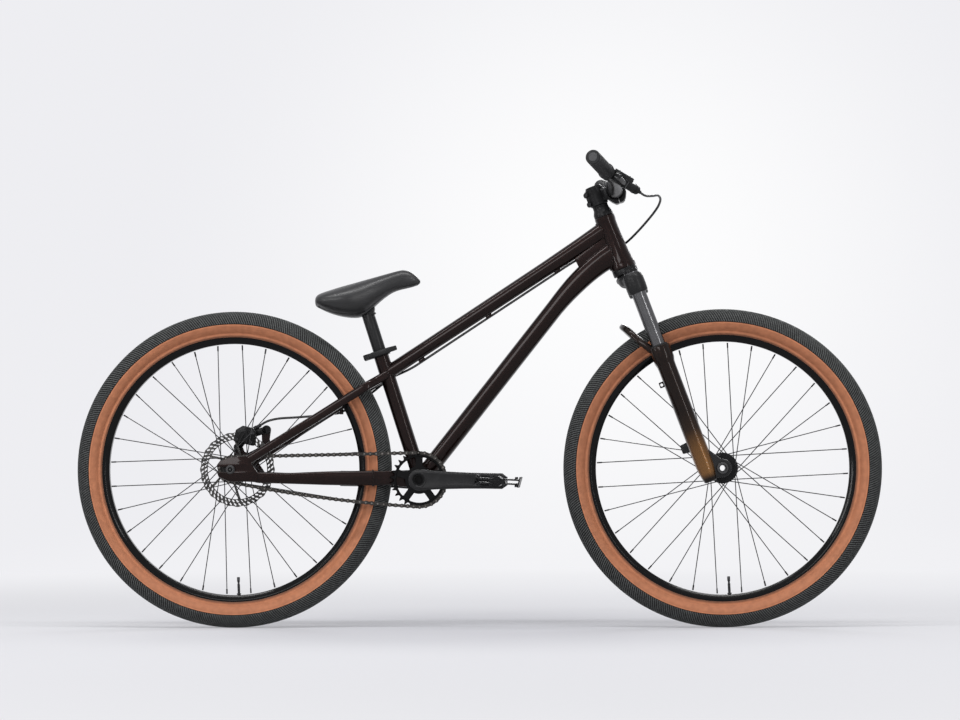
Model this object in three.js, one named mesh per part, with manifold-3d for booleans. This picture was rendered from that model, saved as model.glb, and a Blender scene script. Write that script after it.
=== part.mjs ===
// Dirt jump bicycle: hardtail frame, short-travel fork, single-speed drive, rear disc brake.
// Millimetres. +X points forward, +Y to the rider's left, +Z up. The chain is on the -Y side.
// The origin is on the ground, midway between the wheel axles.
import * as THREE from 'three';
import { mergeVertices } from 'three/addons/utils/BufferGeometryUtils.js';
import Module from 'manifold-3d';

const wasm = await Module();
wasm.setup();

// Fits and facets
const gap = 0.3;
const overrun = 6;
const runningFit = 0.45;
const wheelSides = 32;
const tubeSides = 12;
const shaftSides = 10;
const smallSides = 6;
const mergeTolerance = 0.0001;

// Layout of the bicycle
const tyreRadius = 334;
const wheelbase = 1030;
const bottomBracketDrop = 22.8;
const chainstayLength = 395.55;
const seatTubeAngle = THREE.MathUtils.degToRad(72.4);
const headTubeAngle = THREE.MathUtils.degToRad(69.3);
const forkRake = 42.5;

// Tyres and tubes
const tyreWidth = 58;
const tyreWall = 2.6;
const treadDepth = 4.6;
const tyreHeight = 52;
const beadDepth = 4.8;
const tubeWall = 3;
const valveRadius = 3;
const valveCapRadius = 3.7;
const valveLength = 36;
const valveCapLength = 11;

// Rims
const rimInnerRadius = 263.5;
const rimFlangeRadius = 284.5;
const rimWidth = 30.4;
const rimFlange = 2.4;
const rimWellDepth = 11.5;
const rimInnerWidth = 17;

// Hubs and spokes
const spokesPerWheel = 32;
const spokeRadius = 1.3;
const spokeCrossings = 3;
const spokeHolePitch = 5.2;
const spokeStagger = 2.7;
const flangeRadius = 29;
const flangeThickness = 5.4;
const frontHubWidth = 110;
const frontFlangeSpan = 56;
const frontHubBarrelRadius = 15;
const frontAxleRadius = 9.7;
const frontAxleBore = 6;
const rearHubWidth = 135;
const rearFlangeSpan = 58;
const rearHubBarrelRadius = 14.5;
const rearAxleRadius = 4.8;
const axleHeadRadius = 9.5;
const axleHeadLength = 5.5;
const rotorSeatRadius = 18;

// Disc brake
const rotorRadius = 80;
const rotorBand = 14;
const rotorThickness = 1.8;
const rotorPlane = 51;
const rotorCarrierRadius = 24;
const rotorArms = 6;
const rotorArmWidth = 9;
const rotorSlots = 12;
const rotorSlotWidth = 4.6;
const rotorWave = 0.9;
const padThickness = 3;
const padTravel = 0.3;
const padLength = 26;
const padHeight = 15;
const caliperLength = 44;
const caliperHeight = 37;
const caliperWidth = 31;
const caliperAngle = THREE.MathUtils.degToRad(76);
const pistonBossRadius = 15;
const pistonBossHeight = 4;
const padClearance = 0.6;
const padDrop = 2.2;
const caliperRadius = 75.2;
const caliperBevel = 2;
const tabThickness = 6;
const tabSetback = 1.5;
const tabRadius = 9.5;
const tabBoltRadius = 3;
const earThickness = 4;
const rearTabAhead = 0.5;
const rearTabRise = 47;
const frontTabAhead = 61.5;
const frontTabRise = 84.5;
const ferruleLength = 12;
const ferruleRadius = 4;

// Chain drive
const chainPitch = 12.7;
const ringTeeth = 28;
const cogTeeth = 13;
const chainline = 47;
const rollerLength = 5.6;
const plateHeight = 8.4;
const plateInside = 1.9;
const plateOutside = 4.3;
const toothThickness = 2.4;
const toothRootHalf = 2.2;
const toothTipHalf = 1;
const toothHeight = 3.9;
const cogBore = 16.4;
const ringBore = 14;
const ringArms = 5;
const ringArmWidth = 9;
const ringArmAngle = THREE.MathUtils.degToRad(15);
const ringRim = 9;
const ringHubRadius = 21;

// Cranks and pedals
const crankLength = 170;
const crankRestAngle = THREE.MathUtils.degToRad(1);
const crankBossRadius = 22;
const crankEndRadius = 17;
const crankThickness = 14;
const crankBevel = 2.4;
const crankFlare = 15;
const crankInnerFace = 54;
const spindleRadius = 12;
const spindleBore = 9.5;
const spindleRecess = 6;
const pedalAxleRadius = 4.6;
const pedalAxleHeadRadius = 7.4;
const pedalBarrelRadius = 10.5;
const pedalWidth = 98;
const pedalLength = 90;
const pedalHeight = 12;
const pedalClawHeight = 23;
const pedalRail = 6;
const pedalClawDepth = 2.6;
const pedalClaws = 5;
const pedalTilt = THREE.MathUtils.degToRad(8);

// Bottom bracket and rear triangle
const shellRadius = 20.5;
const shellWidth = 68;
const shellWall = 3.6;
const cupRadius = 21.5;
const cupLength = 9;
const cupSleeve = 14;
const yokeThickness = 7;
const yokeHeight = 30;
const yokeHalfWidth = 40;
const yokeLength = 77;
const yokeBridgeLength = 20;
const chainstayRearHeight = 23;
const chainstayFrontHeight = 32;
const chainstayRearWidth = 14;
const chainstayFrontWidth = 16;
const chainstayFrontSpread = 44;
const dropoutSpread = 64;
const seatstayRadius = 8;
const seatstayDepth = 9.2;
const seatstayJoint = 233;
const dropoutThickness = 6;
const dropoutSlotLength = 46;
const dropoutRearReach = 36;
const dropoutFrontReach = 57;
const dropoutHeight = 27;

// Seat tube, post and saddle
const seatTubeRadius = 15.9;
const seatTubeLength = 287;
const seatPostRadius = 13.6;
const seatPostInsertion = 112;
const seatPostExposed = 92;
const seatPostBore = 10.8;
const postHeadRadius = 18;
const postHeadWidth = 24;
const clampHeight = 13;
const clampRadius = 20.6;
const clampEarLength = 15;
const clampEarWidth = 17;
const clampLeverLength = 66;
const clampLeverThickness = 5;
const clampLeverHeight = 11;
const clampLeverPinRadius = 2.6;
const clampCamRadius = 7;
const clampSlit = 2.2;
const saddleScale = 1;
const saddleDraw = 0.42;

// Main tubes
const topTubeRear = 29;
const topTubeMiddle = 31.5;
const topTubeFront = 39;
const topTubeWidth = 32;
const topTubeSeatHeight = 235.6;
const topTubeHeadHeight = 92;
const downTubeRear = 37;
const downTubeFront = 53;
const downTubeWidth = 40;
const downTubeStraight = 459;
const downTubeAngle = THREE.MathUtils.degToRad(51.74);
const downTubeBendReach = 106;
const downTubeHeadHeight = 39;
const downTubeHeadRun = 76;
const downTubeHeadAngle = THREE.MathUtils.degToRad(30);
const guideReach = 4.8;
const guideHoseReach = 20.5;
const stayGuideAhead = 223;
const stayGuideSpread = 50;
const stayGuideHeight = 457.5;
const guideWidth = 10;
const guideLength = 8;

// Head tube and headset
const headTubeLength = 117;
const headTubeLowerRadius = 27;
const headTubeUpperRadius = 21.5;
const headTubeWaist = 20.5;
const headTubeRing = 10;
const headTubeLowerBore = 22.5;
const headTubeUpperBore = 18.6;
const lowerCupHeight = 13;
const lowerCupRadius = 26.6;
const bearingDepth = 13;
const topCoverHeight = 26;
const topCoverRadius = 20.5;
const topCoverTopRadius = 16.6;

// Fork
const axleToCrown = 453;
const forkOffset = 10;
const legSpacing = 130;
const steererRadius = 14.3;
const steererBaseRadius = 18.6;
const steererBore = 11;
const steererTaper = 46;
const crownHeight = 49;
const crownCentreHeight = 13;
const crownSocketRadius = 20.5;
const crownDepth = 42;
const stanchionRadius = 15;
const stanchionExposed = 119;
const stanchionInsertion = 112;
const forkTravel = 100;
const legRadius = 19;
const legCollarRadius = 22;
const legCollarHeight = 30;
const legFoot = 18;
const dropoutBossRadius = 19;
const archRise = 66;
const archSetback = 50;
const archSection = 15;
const brakeBossReach = 34;
const brakeBossHeight = 66;
const brakeBossSize = 15;
const dropoutBossLength = 16;
const legGuideHeight = 210;

// Stem, bar and controls
const stemHeight = 38;
const stemReach = 40.6;
const stemDrop = 4.3;
const stemClampRadius = 19;
const barClampOuterRadius = 22.5;
const barClampWidth = 46;
const stemBeamWidth = 33;
const stemBeamHeight = 30;
const pinchBoltRadius = 4;
const pinchEarReach = 25;
const faceplateGap = 2;
const faceplateDepth = 10;
const faceplateHeight = 52;
const faceplateBoltRadius = 3.6;
const faceplateBoltSpread = 20.6;
const faceplateBoltSide = 15;
const topCapHeight = 4;
const topCapBoltRadius = 4;
const barHalfWidth = 385;
const barCentreRadius = 15.9;
const barGripRadius = 11.1;
const barClampHalf = 32;
const barBendStart = 55;
const barBendEnd = 185;
const barRise = 12;
const barSweepBack = 38;
const barSweepUp = 29;
const gripLength = 134;
const gripRadius = 15.4;
const gripFlangeRadius = 17.6;
const gripEndWall = 3.2;
const leverClampWidth = 13;
const leverClampWall = 4.2;
const leverBodyLength = 62;
const leverBodyRadius = 9.5;
const leverBodyReach = 27;
const leverReservoirHeight = 14;
const leverPitch = THREE.MathUtils.degToRad(34);
const leverPivotReach = 40;
const leverBladeLength = 92;
const leverBladeThickness = 7;
const leverBladeWidth = 10;
const leverBladeHook = 12;
const leverClearance = 0.6;
const leverLugWall = 3;
const leverPinRadius = 2.6;

// Brake hose
const hoseRadius = 2.5;
const hoseSides = 8;
const hoseSteps = 60;

// Derived layout
const rearAxleX = -wheelbase / 2;
const frontAxleX = wheelbase / 2;
const axleZ = tyreRadius;
const bracketX = rearAxleX + Math.sqrt(chainstayLength ** 2 - bottomBracketDrop ** 2);
const bracketZ = axleZ - bottomBracketDrop;
const headTilt = Math.PI / 2 - headTubeAngle;
const seatTilt = Math.PI / 2 - seatTubeAngle;
const headTubeBase = axleToCrown + lowerCupHeight;
const headTubeTop = headTubeBase + headTubeLength;
const topCoverTop = headTubeTop + topCoverHeight;
const stemTop = topCoverTop + stemHeight;
const stemBarHeight = topCoverTop + stemHeight / 2 - stemDrop;

// Colours and finishes
const finishes = {
  paint: { color: 0x1d1210, roughness: 0.18, metalness: 0.55 },
  forkPaint: { color: 0x241a14, roughness: 0.28, metalness: 0.4 },
  blackMetal: { color: 0x17181a, roughness: 0.42, metalness: 0.6 },
  blackForged: { color: 0x232426, roughness: 0.55, metalness: 0.5 },
  steel: { color: 0x8f9296, roughness: 0.3, metalness: 0.9 },
  chrome: { color: 0xb9bcc0, roughness: 0.12, metalness: 1 },
  chain: { color: 0x2a2927, roughness: 0.45, metalness: 0.8 },
  rubber: { color: 0x222223, roughness: 0.85, metalness: 0 },
  tyre: { color: 0x2b2c2e, roughness: 0.9, metalness: 0 },
  saddle: { color: 0x27282a, roughness: 0.6, metalness: 0 },
  hose: { color: 0x131314, roughness: 0.5, metalness: 0 },
  pad: { color: 0x4a3f36, roughness: 0.8, metalness: 0.1 },
};

// Geometry helpers

function vec(x, y, z) {
  return new THREE.Vector3(x, y, z);
}

// The radius of a faceted hole that clears a round shaft
function clearBore(radius, sides, fit = gap) {
  return (radius + fit) / Math.cos(Math.PI / sides);
}

// A closed solid from a three.js geometry, turned right side out
function solid(geometry) {
  const bare = geometry.clone();
  bare.deleteAttribute('normal');
  bare.deleteAttribute('uv');
  const merged = mergeVertices(bare, mergeTolerance);
  const points = merged.attributes.position.array;
  const source = merged.index.array;
  const corners = [];
  let volume = 0;
  for (let i = 0; i < source.length; i += 3) {
    const [a, b, c] = [source[i], source[i + 1], source[i + 2]];
    if (a === b || b === c || a === c) continue;
    corners.push(a, b, c);
    const pa = new THREE.Vector3().fromArray(points, a * 3);
    const pb = new THREE.Vector3().fromArray(points, b * 3);
    const pc = new THREE.Vector3().fromArray(points, c * 3);
    volume += pa.dot(pb.cross(pc));
  }
  if (volume < 0) corners.reverse();
  return new wasm.Manifold(new wasm.Mesh({
    numProp: 3,
    vertProperties: new Float32Array(points),
    triVerts: new Uint32Array(corners),
  }));
}

function geometryOf(manifold) {
  const mesh = manifold.getMesh();
  const geometry = new THREE.BufferGeometry();
  geometry.setAttribute('position', new THREE.BufferAttribute(new Float32Array(mesh.vertProperties), 3));
  geometry.setIndex(new THREE.BufferAttribute(new Uint32Array(mesh.triVerts), 1));
  geometry.computeVertexNormals();
  return geometry;
}

function join(...parts) {
  return wasm.Manifold.union(parts.flat());
}

function cut(from, ...tools) {
  return tools.flat().reduce((left, tool) => left.subtract(tool), from);
}

function moved(manifold, matrix) {
  return manifold.transform(matrix.elements);
}

function shifted(manifold, x, y, z) {
  return manifold.translate([x, y, z]);
}

// Revolves [radius, height] points about the Y axis; the outline closes on itself or on the axis
function turned(outline, sides = shaftSides) {
  const points = outline.map(([radius, height]) => new THREE.Vector2(radius, height));
  const onAxis = outline[0][0] === 0 && outline[outline.length - 1][0] === 0;
  if (!onAxis) points.push(points[0].clone());
  return solid(new THREE.LatheGeometry(points, sides));
}

// The same about the Z axis
function turnedUpright(outline, sides = shaftSides) {
  const points = outline.map(([radius, height]) => new THREE.Vector2(radius, height));
  const onAxis = outline[0][0] === 0 && outline[outline.length - 1][0] === 0;
  if (!onAxis) points.push(points[0].clone());
  return solid(new THREE.LatheGeometry(points, sides).rotateX(Math.PI / 2));
}

// A round bar between two points
function bar(from, to, radius, sides = smallSides, endRadius = radius) {
  const axis = to.clone().sub(from);
  const geometry = new THREE.CylinderGeometry(endRadius, radius, axis.length(), sides);
  const turn = new THREE.Quaternion().setFromUnitVectors(vec(0, 1, 0), axis.clone().normalize());
  geometry.applyQuaternion(turn);
  geometry.translate((from.x + to.x) / 2, (from.y + to.y) / 2, (from.z + to.z) / 2);
  return solid(geometry);
}

function block(centre, size) {
  const geometry = new THREE.BoxGeometry(size.x, size.y, size.z);
  geometry.translate(centre.x, centre.y, centre.z);
  return solid(geometry);
}

// A flat outline drawn in X and Z, given thickness along Y about the middle plane
function plate(shape, thickness, middle = 0, bevel = 0, curveSegments = 6) {
  const geometry = new THREE.ExtrudeGeometry(shape, {
    depth: thickness - 2 * bevel,
    bevelEnabled: bevel > 0,
    bevelThickness: bevel,
    bevelSize: bevel,
    bevelOffset: -bevel,
    bevelSegments: 1,
    curveSegments,
  });
  geometry.rotateX(Math.PI / 2);
  geometry.translate(0, middle + thickness / 2 - bevel, 0);
  return solid(geometry);
}

function outlineOf(points) {
  return new THREE.Shape(points.map(([x, z]) => new THREE.Vector2(x, z)));
}

// A ring of points in the plane of two directions; squareness above 2 flattens its sides
function section(centre, across, up, width, height, sides, squareness = 2) {
  const points = [];
  for (let i = 0; i < sides; i += 1) {
    const angle = (2 * Math.PI * (i + 0.5)) / sides;
    const power = 2 / squareness;
    const x = Math.sign(Math.cos(angle)) * Math.abs(Math.cos(angle)) ** power;
    const y = Math.sign(Math.sin(angle)) * Math.abs(Math.sin(angle)) ** power;
    points.push(centre.clone()
      .addScaledVector(across, (x * width) / 2)
      .addScaledVector(up, (y * height) / 2));
  }
  return points;
}

// A skin over matching rings, closed by a flat face at each end
function loft(rings) {
  const sides = rings[0].length;
  const positions = rings.flat().flatMap((p) => [p.x, p.y, p.z]);
  const faces = [];
  for (let k = 0; k + 1 < rings.length; k += 1) {
    for (let i = 0; i < sides; i += 1) {
      const a = k * sides + i;
      const b = k * sides + ((i + 1) % sides);
      faces.push(a, b, b + sides, a, b + sides, a + sides);
    }
  }
  const last = (rings.length - 1) * sides;
  for (let i = 1; i + 1 < sides; i += 1) {
    faces.push(0, i + 1, i);
    faces.push(last, last + i, last + i + 1);
  }
  const geometry = new THREE.BufferGeometry();
  geometry.setAttribute('position', new THREE.Float32BufferAttribute(positions, 3));
  geometry.setIndex(faces);
  return solid(geometry);
}

// A tube lofted along points, with a width across the bicycle and a height at each point.
// A station squares its end to a direction of its own, or else follows its neighbours.
function tubeAlong(stations, sides, squareness = 2) {
  const rings = stations.map(({ at, width, height, along }, i) => {
    const before = stations[Math.max(i - 1, 0)].at;
    const after = stations[Math.min(i + 1, stations.length - 1)].at;
    const tangent = (along || after.clone().sub(before)).clone().normalize();
    const across = vec(0, 1, 0).addScaledVector(tangent, -tangent.y).normalize();
    const up = tangent.clone().cross(across).normalize();
    return section(at, across, up, width, height, sides, squareness);
  });
  return loft(rings);
}

function mirrored(manifold) {
  return manifold.mirror([0, 1, 0]);
}

const scene = new THREE.Group();

function add(parent, name, manifold, finish) {
  const mesh = new THREE.Mesh(geometryOf(manifold), new THREE.MeshStandardMaterial(finishes[finish]));
  mesh.name = name;
  parent.add(mesh);
  return mesh;
}

// Frames of reference

// Upright along the steering axis, from the foot of the rake
const steeringFrame = new THREE.Group();
const rakeX = frontAxleX - forkRake * Math.cos(headTilt);
const rakeZ = axleZ - forkRake * Math.sin(headTilt);
steeringFrame.position.set(rakeX, 0, rakeZ);
steeringFrame.rotation.y = -headTilt;
steeringFrame.updateMatrix();

// Upright along the seat tube, from the bottom bracket
const seatFrame = new THREE.Group();
seatFrame.position.set(bracketX, 0, bracketZ);
seatFrame.rotation.y = -seatTilt;
seatFrame.updateMatrix();

const frontWheelFrame = new THREE.Group();
frontWheelFrame.position.set(frontAxleX, 0, axleZ);
const rearWheelFrame = new THREE.Group();
rearWheelFrame.position.set(rearAxleX, 0, axleZ);
rearWheelFrame.updateMatrix();
const crankFrame = new THREE.Group();
crankFrame.position.set(bracketX, 0, bracketZ);
crankFrame.rotation.y = crankRestAngle;
scene.add(steeringFrame, seatFrame, frontWheelFrame, rearWheelFrame, crankFrame);

// A point given by height along the steering axis and distance ahead of it
function onSteering(height, ahead = 0) {
  return vec(ahead, 0, height).applyMatrix4(steeringFrame.matrix);
}

function onSeat(height, ahead = 0) {
  return vec(ahead, 0, height).applyMatrix4(seatFrame.matrix);
}

// Wheels

const valveAngle = -Math.PI / 2;
const holePitch = (2 * Math.PI) / spokesPerWheel;
const wheelFlat = Math.cos(Math.PI / wheelSides);

// Points of the casing's oval at shares of a half turn, from bead to bead over the tread
function casingOval(halfWidth, halfHeight, centre, reach, steps) {
  const points = [];
  for (let i = 0; i <= steps; i += 1) {
    const angle = reach * ((2 * i) / steps - 1);
    points.push([centre + halfHeight * Math.cos(angle), halfWidth * Math.sin(angle)]);
  }
  return points;
}

const beadHalf = rimWidth / 2 - rimFlange - gap;
const casingCentre = tyreRadius - tyreHeight / 2;
const casingReach = Math.PI - Math.asin(beadHalf / (tyreWidth / 2));
const liningHalfWidth = tyreWidth / 2 - tyreWall;
const liningHalfHeight = (tyreHeight - treadDepth - tyreWall) / 2;
const liningCentre = tyreRadius - treadDepth - liningHalfHeight;
const liningReach = Math.PI - Math.asin((beadHalf - tyreWall) / liningHalfWidth);

function tyreBody() {
  const casing = casingOval(tyreWidth / 2, tyreHeight / 2, casingCentre, casingReach, 6);
  const lining = casingOval(liningHalfWidth, liningHalfHeight, liningCentre, liningReach, 3).reverse();
  const foot = rimFlangeRadius - beadDepth;
  const footHalf = beadHalf - tyreWall / 2;
  return turned([...casing, [foot, footHalf], ...lining, [foot, -footHalf]], wheelSides);
}

function rimOutline() {
  const outer = rimWidth / 2;
  const inner = outer - rimFlange;
  const well = rimFlangeRadius - rimWellDepth;
  const wellHalf = inner * 0.72;
  const floorHalf = rimInnerWidth / 2;
  return [
    [rimFlangeRadius, outer], [rimFlangeRadius, inner], [well, wellHalf],
    [well, -wellHalf], [rimFlangeRadius, -inner], [rimFlangeRadius, -outer],
    [rimInnerRadius, -floorHalf], [rimInnerRadius, floorHalf],
  ];
}

function alongValve(from, to, radius) {
  const direction = vec(Math.cos(valveAngle), 0, Math.sin(valveAngle));
  return bar(direction.clone().multiplyScalar(from), direction.clone().multiplyScalar(to), radius);
}

function rimBody() {
  const hole = alongValve(rimInnerRadius - overrun, rimFlangeRadius, clearBore(valveRadius, smallSides));
  return cut(turned(rimOutline(), wheelSides), hole);
}

// The inner tube fills the tyre and its valve passes through the rim
function innerTubeBody() {
  const inset = gap * 1.4;
  const halfWidth = liningHalfWidth - inset;
  const halfHeight = liningHalfHeight - inset;
  const skin = casingOval(halfWidth, halfHeight, liningCentre, liningReach / 3, 1);
  const seat = rimFlangeRadius - tubeWall;
  const seatHalf = beadHalf - tubeWall * 2.5;
  const ring = turned([...skin, [seat, seatHalf], [seat, -seatHalf]], wheelSides);
  const valveTip = rimInnerRadius - valveLength;
  const stem = alongValve(valveTip, rimFlangeRadius + tubeWall, valveRadius);
  const cap = alongValve(valveTip, valveTip + valveCapLength, valveCapRadius);
  return join(ring, stem, cap);
}

// Each flange holds half the spokes, laced alternately forward and back
function spokeSet(flangeSpan) {
  const spokes = [];
  const crossAngle = spokeCrossings * 2 * holePitch;
  const outerEnd = rimInnerRadius * wheelFlat - gap;
  const innerEnd = flangeRadius - flangeThickness / 2;
  for (let i = 0; i < spokesPerWheel; i += 1) {
    const side = i % 2 === 0 ? -1 : 1;
    const forward = i % 4 < 2 ? 1 : -1;
    const rimAngle = valveAngle + (i + 0.5) * holePitch;
    const hubAngle = rimAngle + forward * crossAngle;
    const stagger = (forward * spokeStagger) / 2;
    const atHub = vec(
      innerEnd * Math.cos(hubAngle),
      (side * flangeSpan) / 2 + stagger,
      innerEnd * Math.sin(hubAngle),
    );
    const atRim = vec(
      outerEnd * Math.cos(rimAngle),
      (side * spokeHolePitch) / 2 + stagger,
      outerEnd * Math.sin(rimAngle),
    );
    spokes.push(bar(atHub, atRim, spokeRadius, 3));
  }
  return spokes;
}

function hubShell(width, flangeSpan, barrelRadius, endRadius, bore) {
  const half = width / 2 - gap;
  const flangeIn = flangeSpan / 2 - flangeThickness / 2;
  const flangeOut = flangeSpan / 2 + flangeThickness / 2;
  const upper = [
    [barrelRadius, flangeIn - flangeThickness], [flangeRadius, flangeIn], [flangeRadius, flangeOut],
    [endRadius, flangeOut + flangeThickness / 2], [endRadius, half], [bore, half],
  ];
  const lower = upper.map(([radius, height]) => [radius, -height]).reverse();
  return turned([...upper, ...lower]);
}

const frontHubBore = clearBore(frontAxleRadius, shaftSides, runningFit);
const rearHubBore = clearBore(rearAxleRadius, shaftSides, runningFit);
const rearHubEndRadius = cogBore * Math.cos(Math.PI / shaftSides) - runningFit;

add(frontWheelFrame, 'front_tyre', tyreBody(), 'tyre');
add(frontWheelFrame, 'front_inner_tube', innerTubeBody(), 'rubber');
add(frontWheelFrame, 'front_rim', rimBody(), 'blackMetal');
add(frontWheelFrame, 'front_hub', join(
  hubShell(frontHubWidth, frontFlangeSpan, frontHubBarrelRadius, frontHubBarrelRadius, frontHubBore),
  spokeSet(frontFlangeSpan),
), 'blackMetal');

add(rearWheelFrame, 'rear_tyre', tyreBody(), 'tyre');
add(rearWheelFrame, 'rear_inner_tube', innerTubeBody(), 'rubber');
add(rearWheelFrame, 'rear_rim', rimBody(), 'blackMetal');
add(rearWheelFrame, 'rear_hub', join(
  hubShell(rearHubWidth, rearFlangeSpan, rearHubBarrelRadius, rearHubEndRadius, rearHubBore),
  spokeSet(rearFlangeSpan),
), 'blackMetal');

// Brake rotor, on the hub's left end

function arcPoints(radius, from, to, steps) {
  const points = [];
  for (let i = 0; i <= steps; i += 1) {
    const angle = from + ((to - from) * i) / steps;
    points.push([radius * Math.cos(angle), radius * Math.sin(angle)]);
  }
  return points;
}

function pathOf(points) {
  return new THREE.Path(points.map(([x, z]) => new THREE.Vector2(x, z)));
}

// Windows between radial arms of an even width
function armWindows(arms, armWidth, innerRadius, outerRadius, phase, steps) {
  const windows = [];
  for (let i = 0; i < arms; i += 1) {
    const middle = phase + (2 * Math.PI * (i + 0.5)) / arms;
    const outerHalf = Math.PI / arms - armWidth / 2 / outerRadius;
    const innerHalf = Math.PI / arms - armWidth / 2 / innerRadius;
    windows.push([
      ...arcPoints(outerRadius, middle - outerHalf, middle + outerHalf, steps),
      ...arcPoints(innerRadius, middle + innerHalf, middle - innerHalf, 1),
    ]);
  }
  return windows;
}

function rotorBody() {
  const edge = [];
  for (let i = 0; i < rotorSlots * 2; i += 1) {
    const angle = (Math.PI * i) / rotorSlots;
    const radius = rotorRadius - (i % 2) * rotorWave;
    edge.push([radius * Math.cos(angle), radius * Math.sin(angle)]);
  }
  const shape = outlineOf(edge);
  const bandInner = rotorRadius - rotorBand;
  for (const window of armWindows(rotorArms, rotorArmWidth, rotorCarrierRadius, bandInner, 0, 2)) {
    shape.holes.push(pathOf(window));
  }
  const slotInner = bandInner + rotorBand * 0.2;
  const slotOuter = rotorRadius - rotorBand * 0.22;
  for (let i = 0; i < rotorSlots; i += 1) {
    const angle = (2 * Math.PI * (i + 0.5)) / rotorSlots;
    const lean = angle + rotorBand / 2 / rotorRadius;
    const halfIn = rotorSlotWidth / 2 / slotInner;
    const halfOut = rotorSlotWidth / 2 / slotOuter;
    shape.holes.push(pathOf([
      [slotInner * Math.cos(angle - halfIn), slotInner * Math.sin(angle - halfIn)],
      [slotInner * Math.cos(angle + halfIn), slotInner * Math.sin(angle + halfIn)],
      [slotOuter * Math.cos(lean + halfOut), slotOuter * Math.sin(lean + halfOut)],
      [slotOuter * Math.cos(lean - halfOut), slotOuter * Math.sin(lean - halfOut)],
    ]));
  }
  const seat = clearBore(rearHubEndRadius, shaftSides);
  shape.holes.push(pathOf(arcPoints(seat, 0, 2 * Math.PI * (1 - 1 / shaftSides), shaftSides - 1)));
  return plate(shape, rotorThickness, rotorPlane);
}

add(rearWheelFrame, 'brake_rotor', rotorBody(), 'steel');

// Sprockets

function pitchRadius(teeth) {
  return chainPitch / 2 / Math.sin(Math.PI / teeth);
}

function toothedEdge(teeth, phase) {
  const points = [];
  const rootRadius = pitchRadius(teeth) - plateHeight / 2 - gap;
  const tipRadius = pitchRadius(teeth) + toothHeight;
  for (let i = 0; i < teeth; i += 1) {
    const angle = phase + (2 * Math.PI * i) / teeth;
    const corners = [
      [rootRadius, -toothRootHalf], [tipRadius, -toothTipHalf],
      [tipRadius, toothTipHalf], [rootRadius, toothRootHalf],
    ];
    for (const [radius, side] of corners) {
      points.push([
        radius * Math.cos(angle) - side * Math.sin(angle),
        radius * Math.sin(angle) + side * Math.cos(angle),
      ]);
    }
  }
  return points;
}

// The chain runs from the chainring's top, round its front, and back along the lower run

const ringPitchRadius = pitchRadius(ringTeeth);
const cogPitchRadius = pitchRadius(cogTeeth);
const runSlope = Math.atan2(-bottomBracketDrop, bracketX - rearAxleX);
const runLean = Math.asin((ringPitchRadius - cogPitchRadius) / chainstayLength);
const straightRun = chainstayLength * Math.cos(runLean);
const ringWrap = Math.PI + 2 * runLean;
const cogWrap = Math.PI - 2 * runLean;
const ringPitches = (ringWrap / (2 * Math.PI)) * ringTeeth;
const cogPitches = (cogWrap / (2 * Math.PI)) * cogTeeth;
const upperPitches = straightRun / chainPitch;
const chainLinks = Math.ceil(2 * upperPitches + ringPitches + cogPitches);
const lowerPitches = chainLinks - ringPitches - cogPitches - upperPitches;
const chainSlack = lowerPitches * chainPitch - straightRun;
const chainSag = Math.sqrt((3 * straightRun * chainSlack) / 8);
const ringStart = runSlope + Math.PI / 2 + runLean;
const cogStart = runSlope - Math.PI / 2 - runLean;

// The place and direction of the chain, counted in pitches from the chainring's top
function chainPoint(pitches) {
  const ringEnd = ringStart - ringWrap;
  const onCircle = (x, z, radius, angle) => vec(
    x + radius * Math.cos(angle),
    0,
    z + radius * Math.sin(angle),
  );
  if (pitches < ringPitches) {
    return onCircle(bracketX, bracketZ, ringPitchRadius, ringStart - (pitches * 2 * Math.PI) / ringTeeth);
  }
  const lower = pitches - ringPitches;
  const ringFoot = onCircle(bracketX, bracketZ, ringPitchRadius, ringEnd);
  const cogFoot = onCircle(rearAxleX, axleZ, cogPitchRadius, cogStart);
  if (lower < lowerPitches) {
    const share = lower / lowerPitches;
    const point = ringFoot.lerp(cogFoot, share);
    point.z -= 4 * chainSag * share * (1 - share);
    return point;
  }
  const round = lower - lowerPitches;
  if (round < cogPitches) {
    return onCircle(rearAxleX, axleZ, cogPitchRadius, cogStart - (round * 2 * Math.PI) / cogTeeth);
  }
  const upper = (round - cogPitches) / upperPitches;
  const cogHead = onCircle(rearAxleX, axleZ, cogPitchRadius, cogStart - cogWrap);
  return cogHead.lerp(onCircle(bracketX, bracketZ, ringPitchRadius, ringStart), upper);
}

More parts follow.
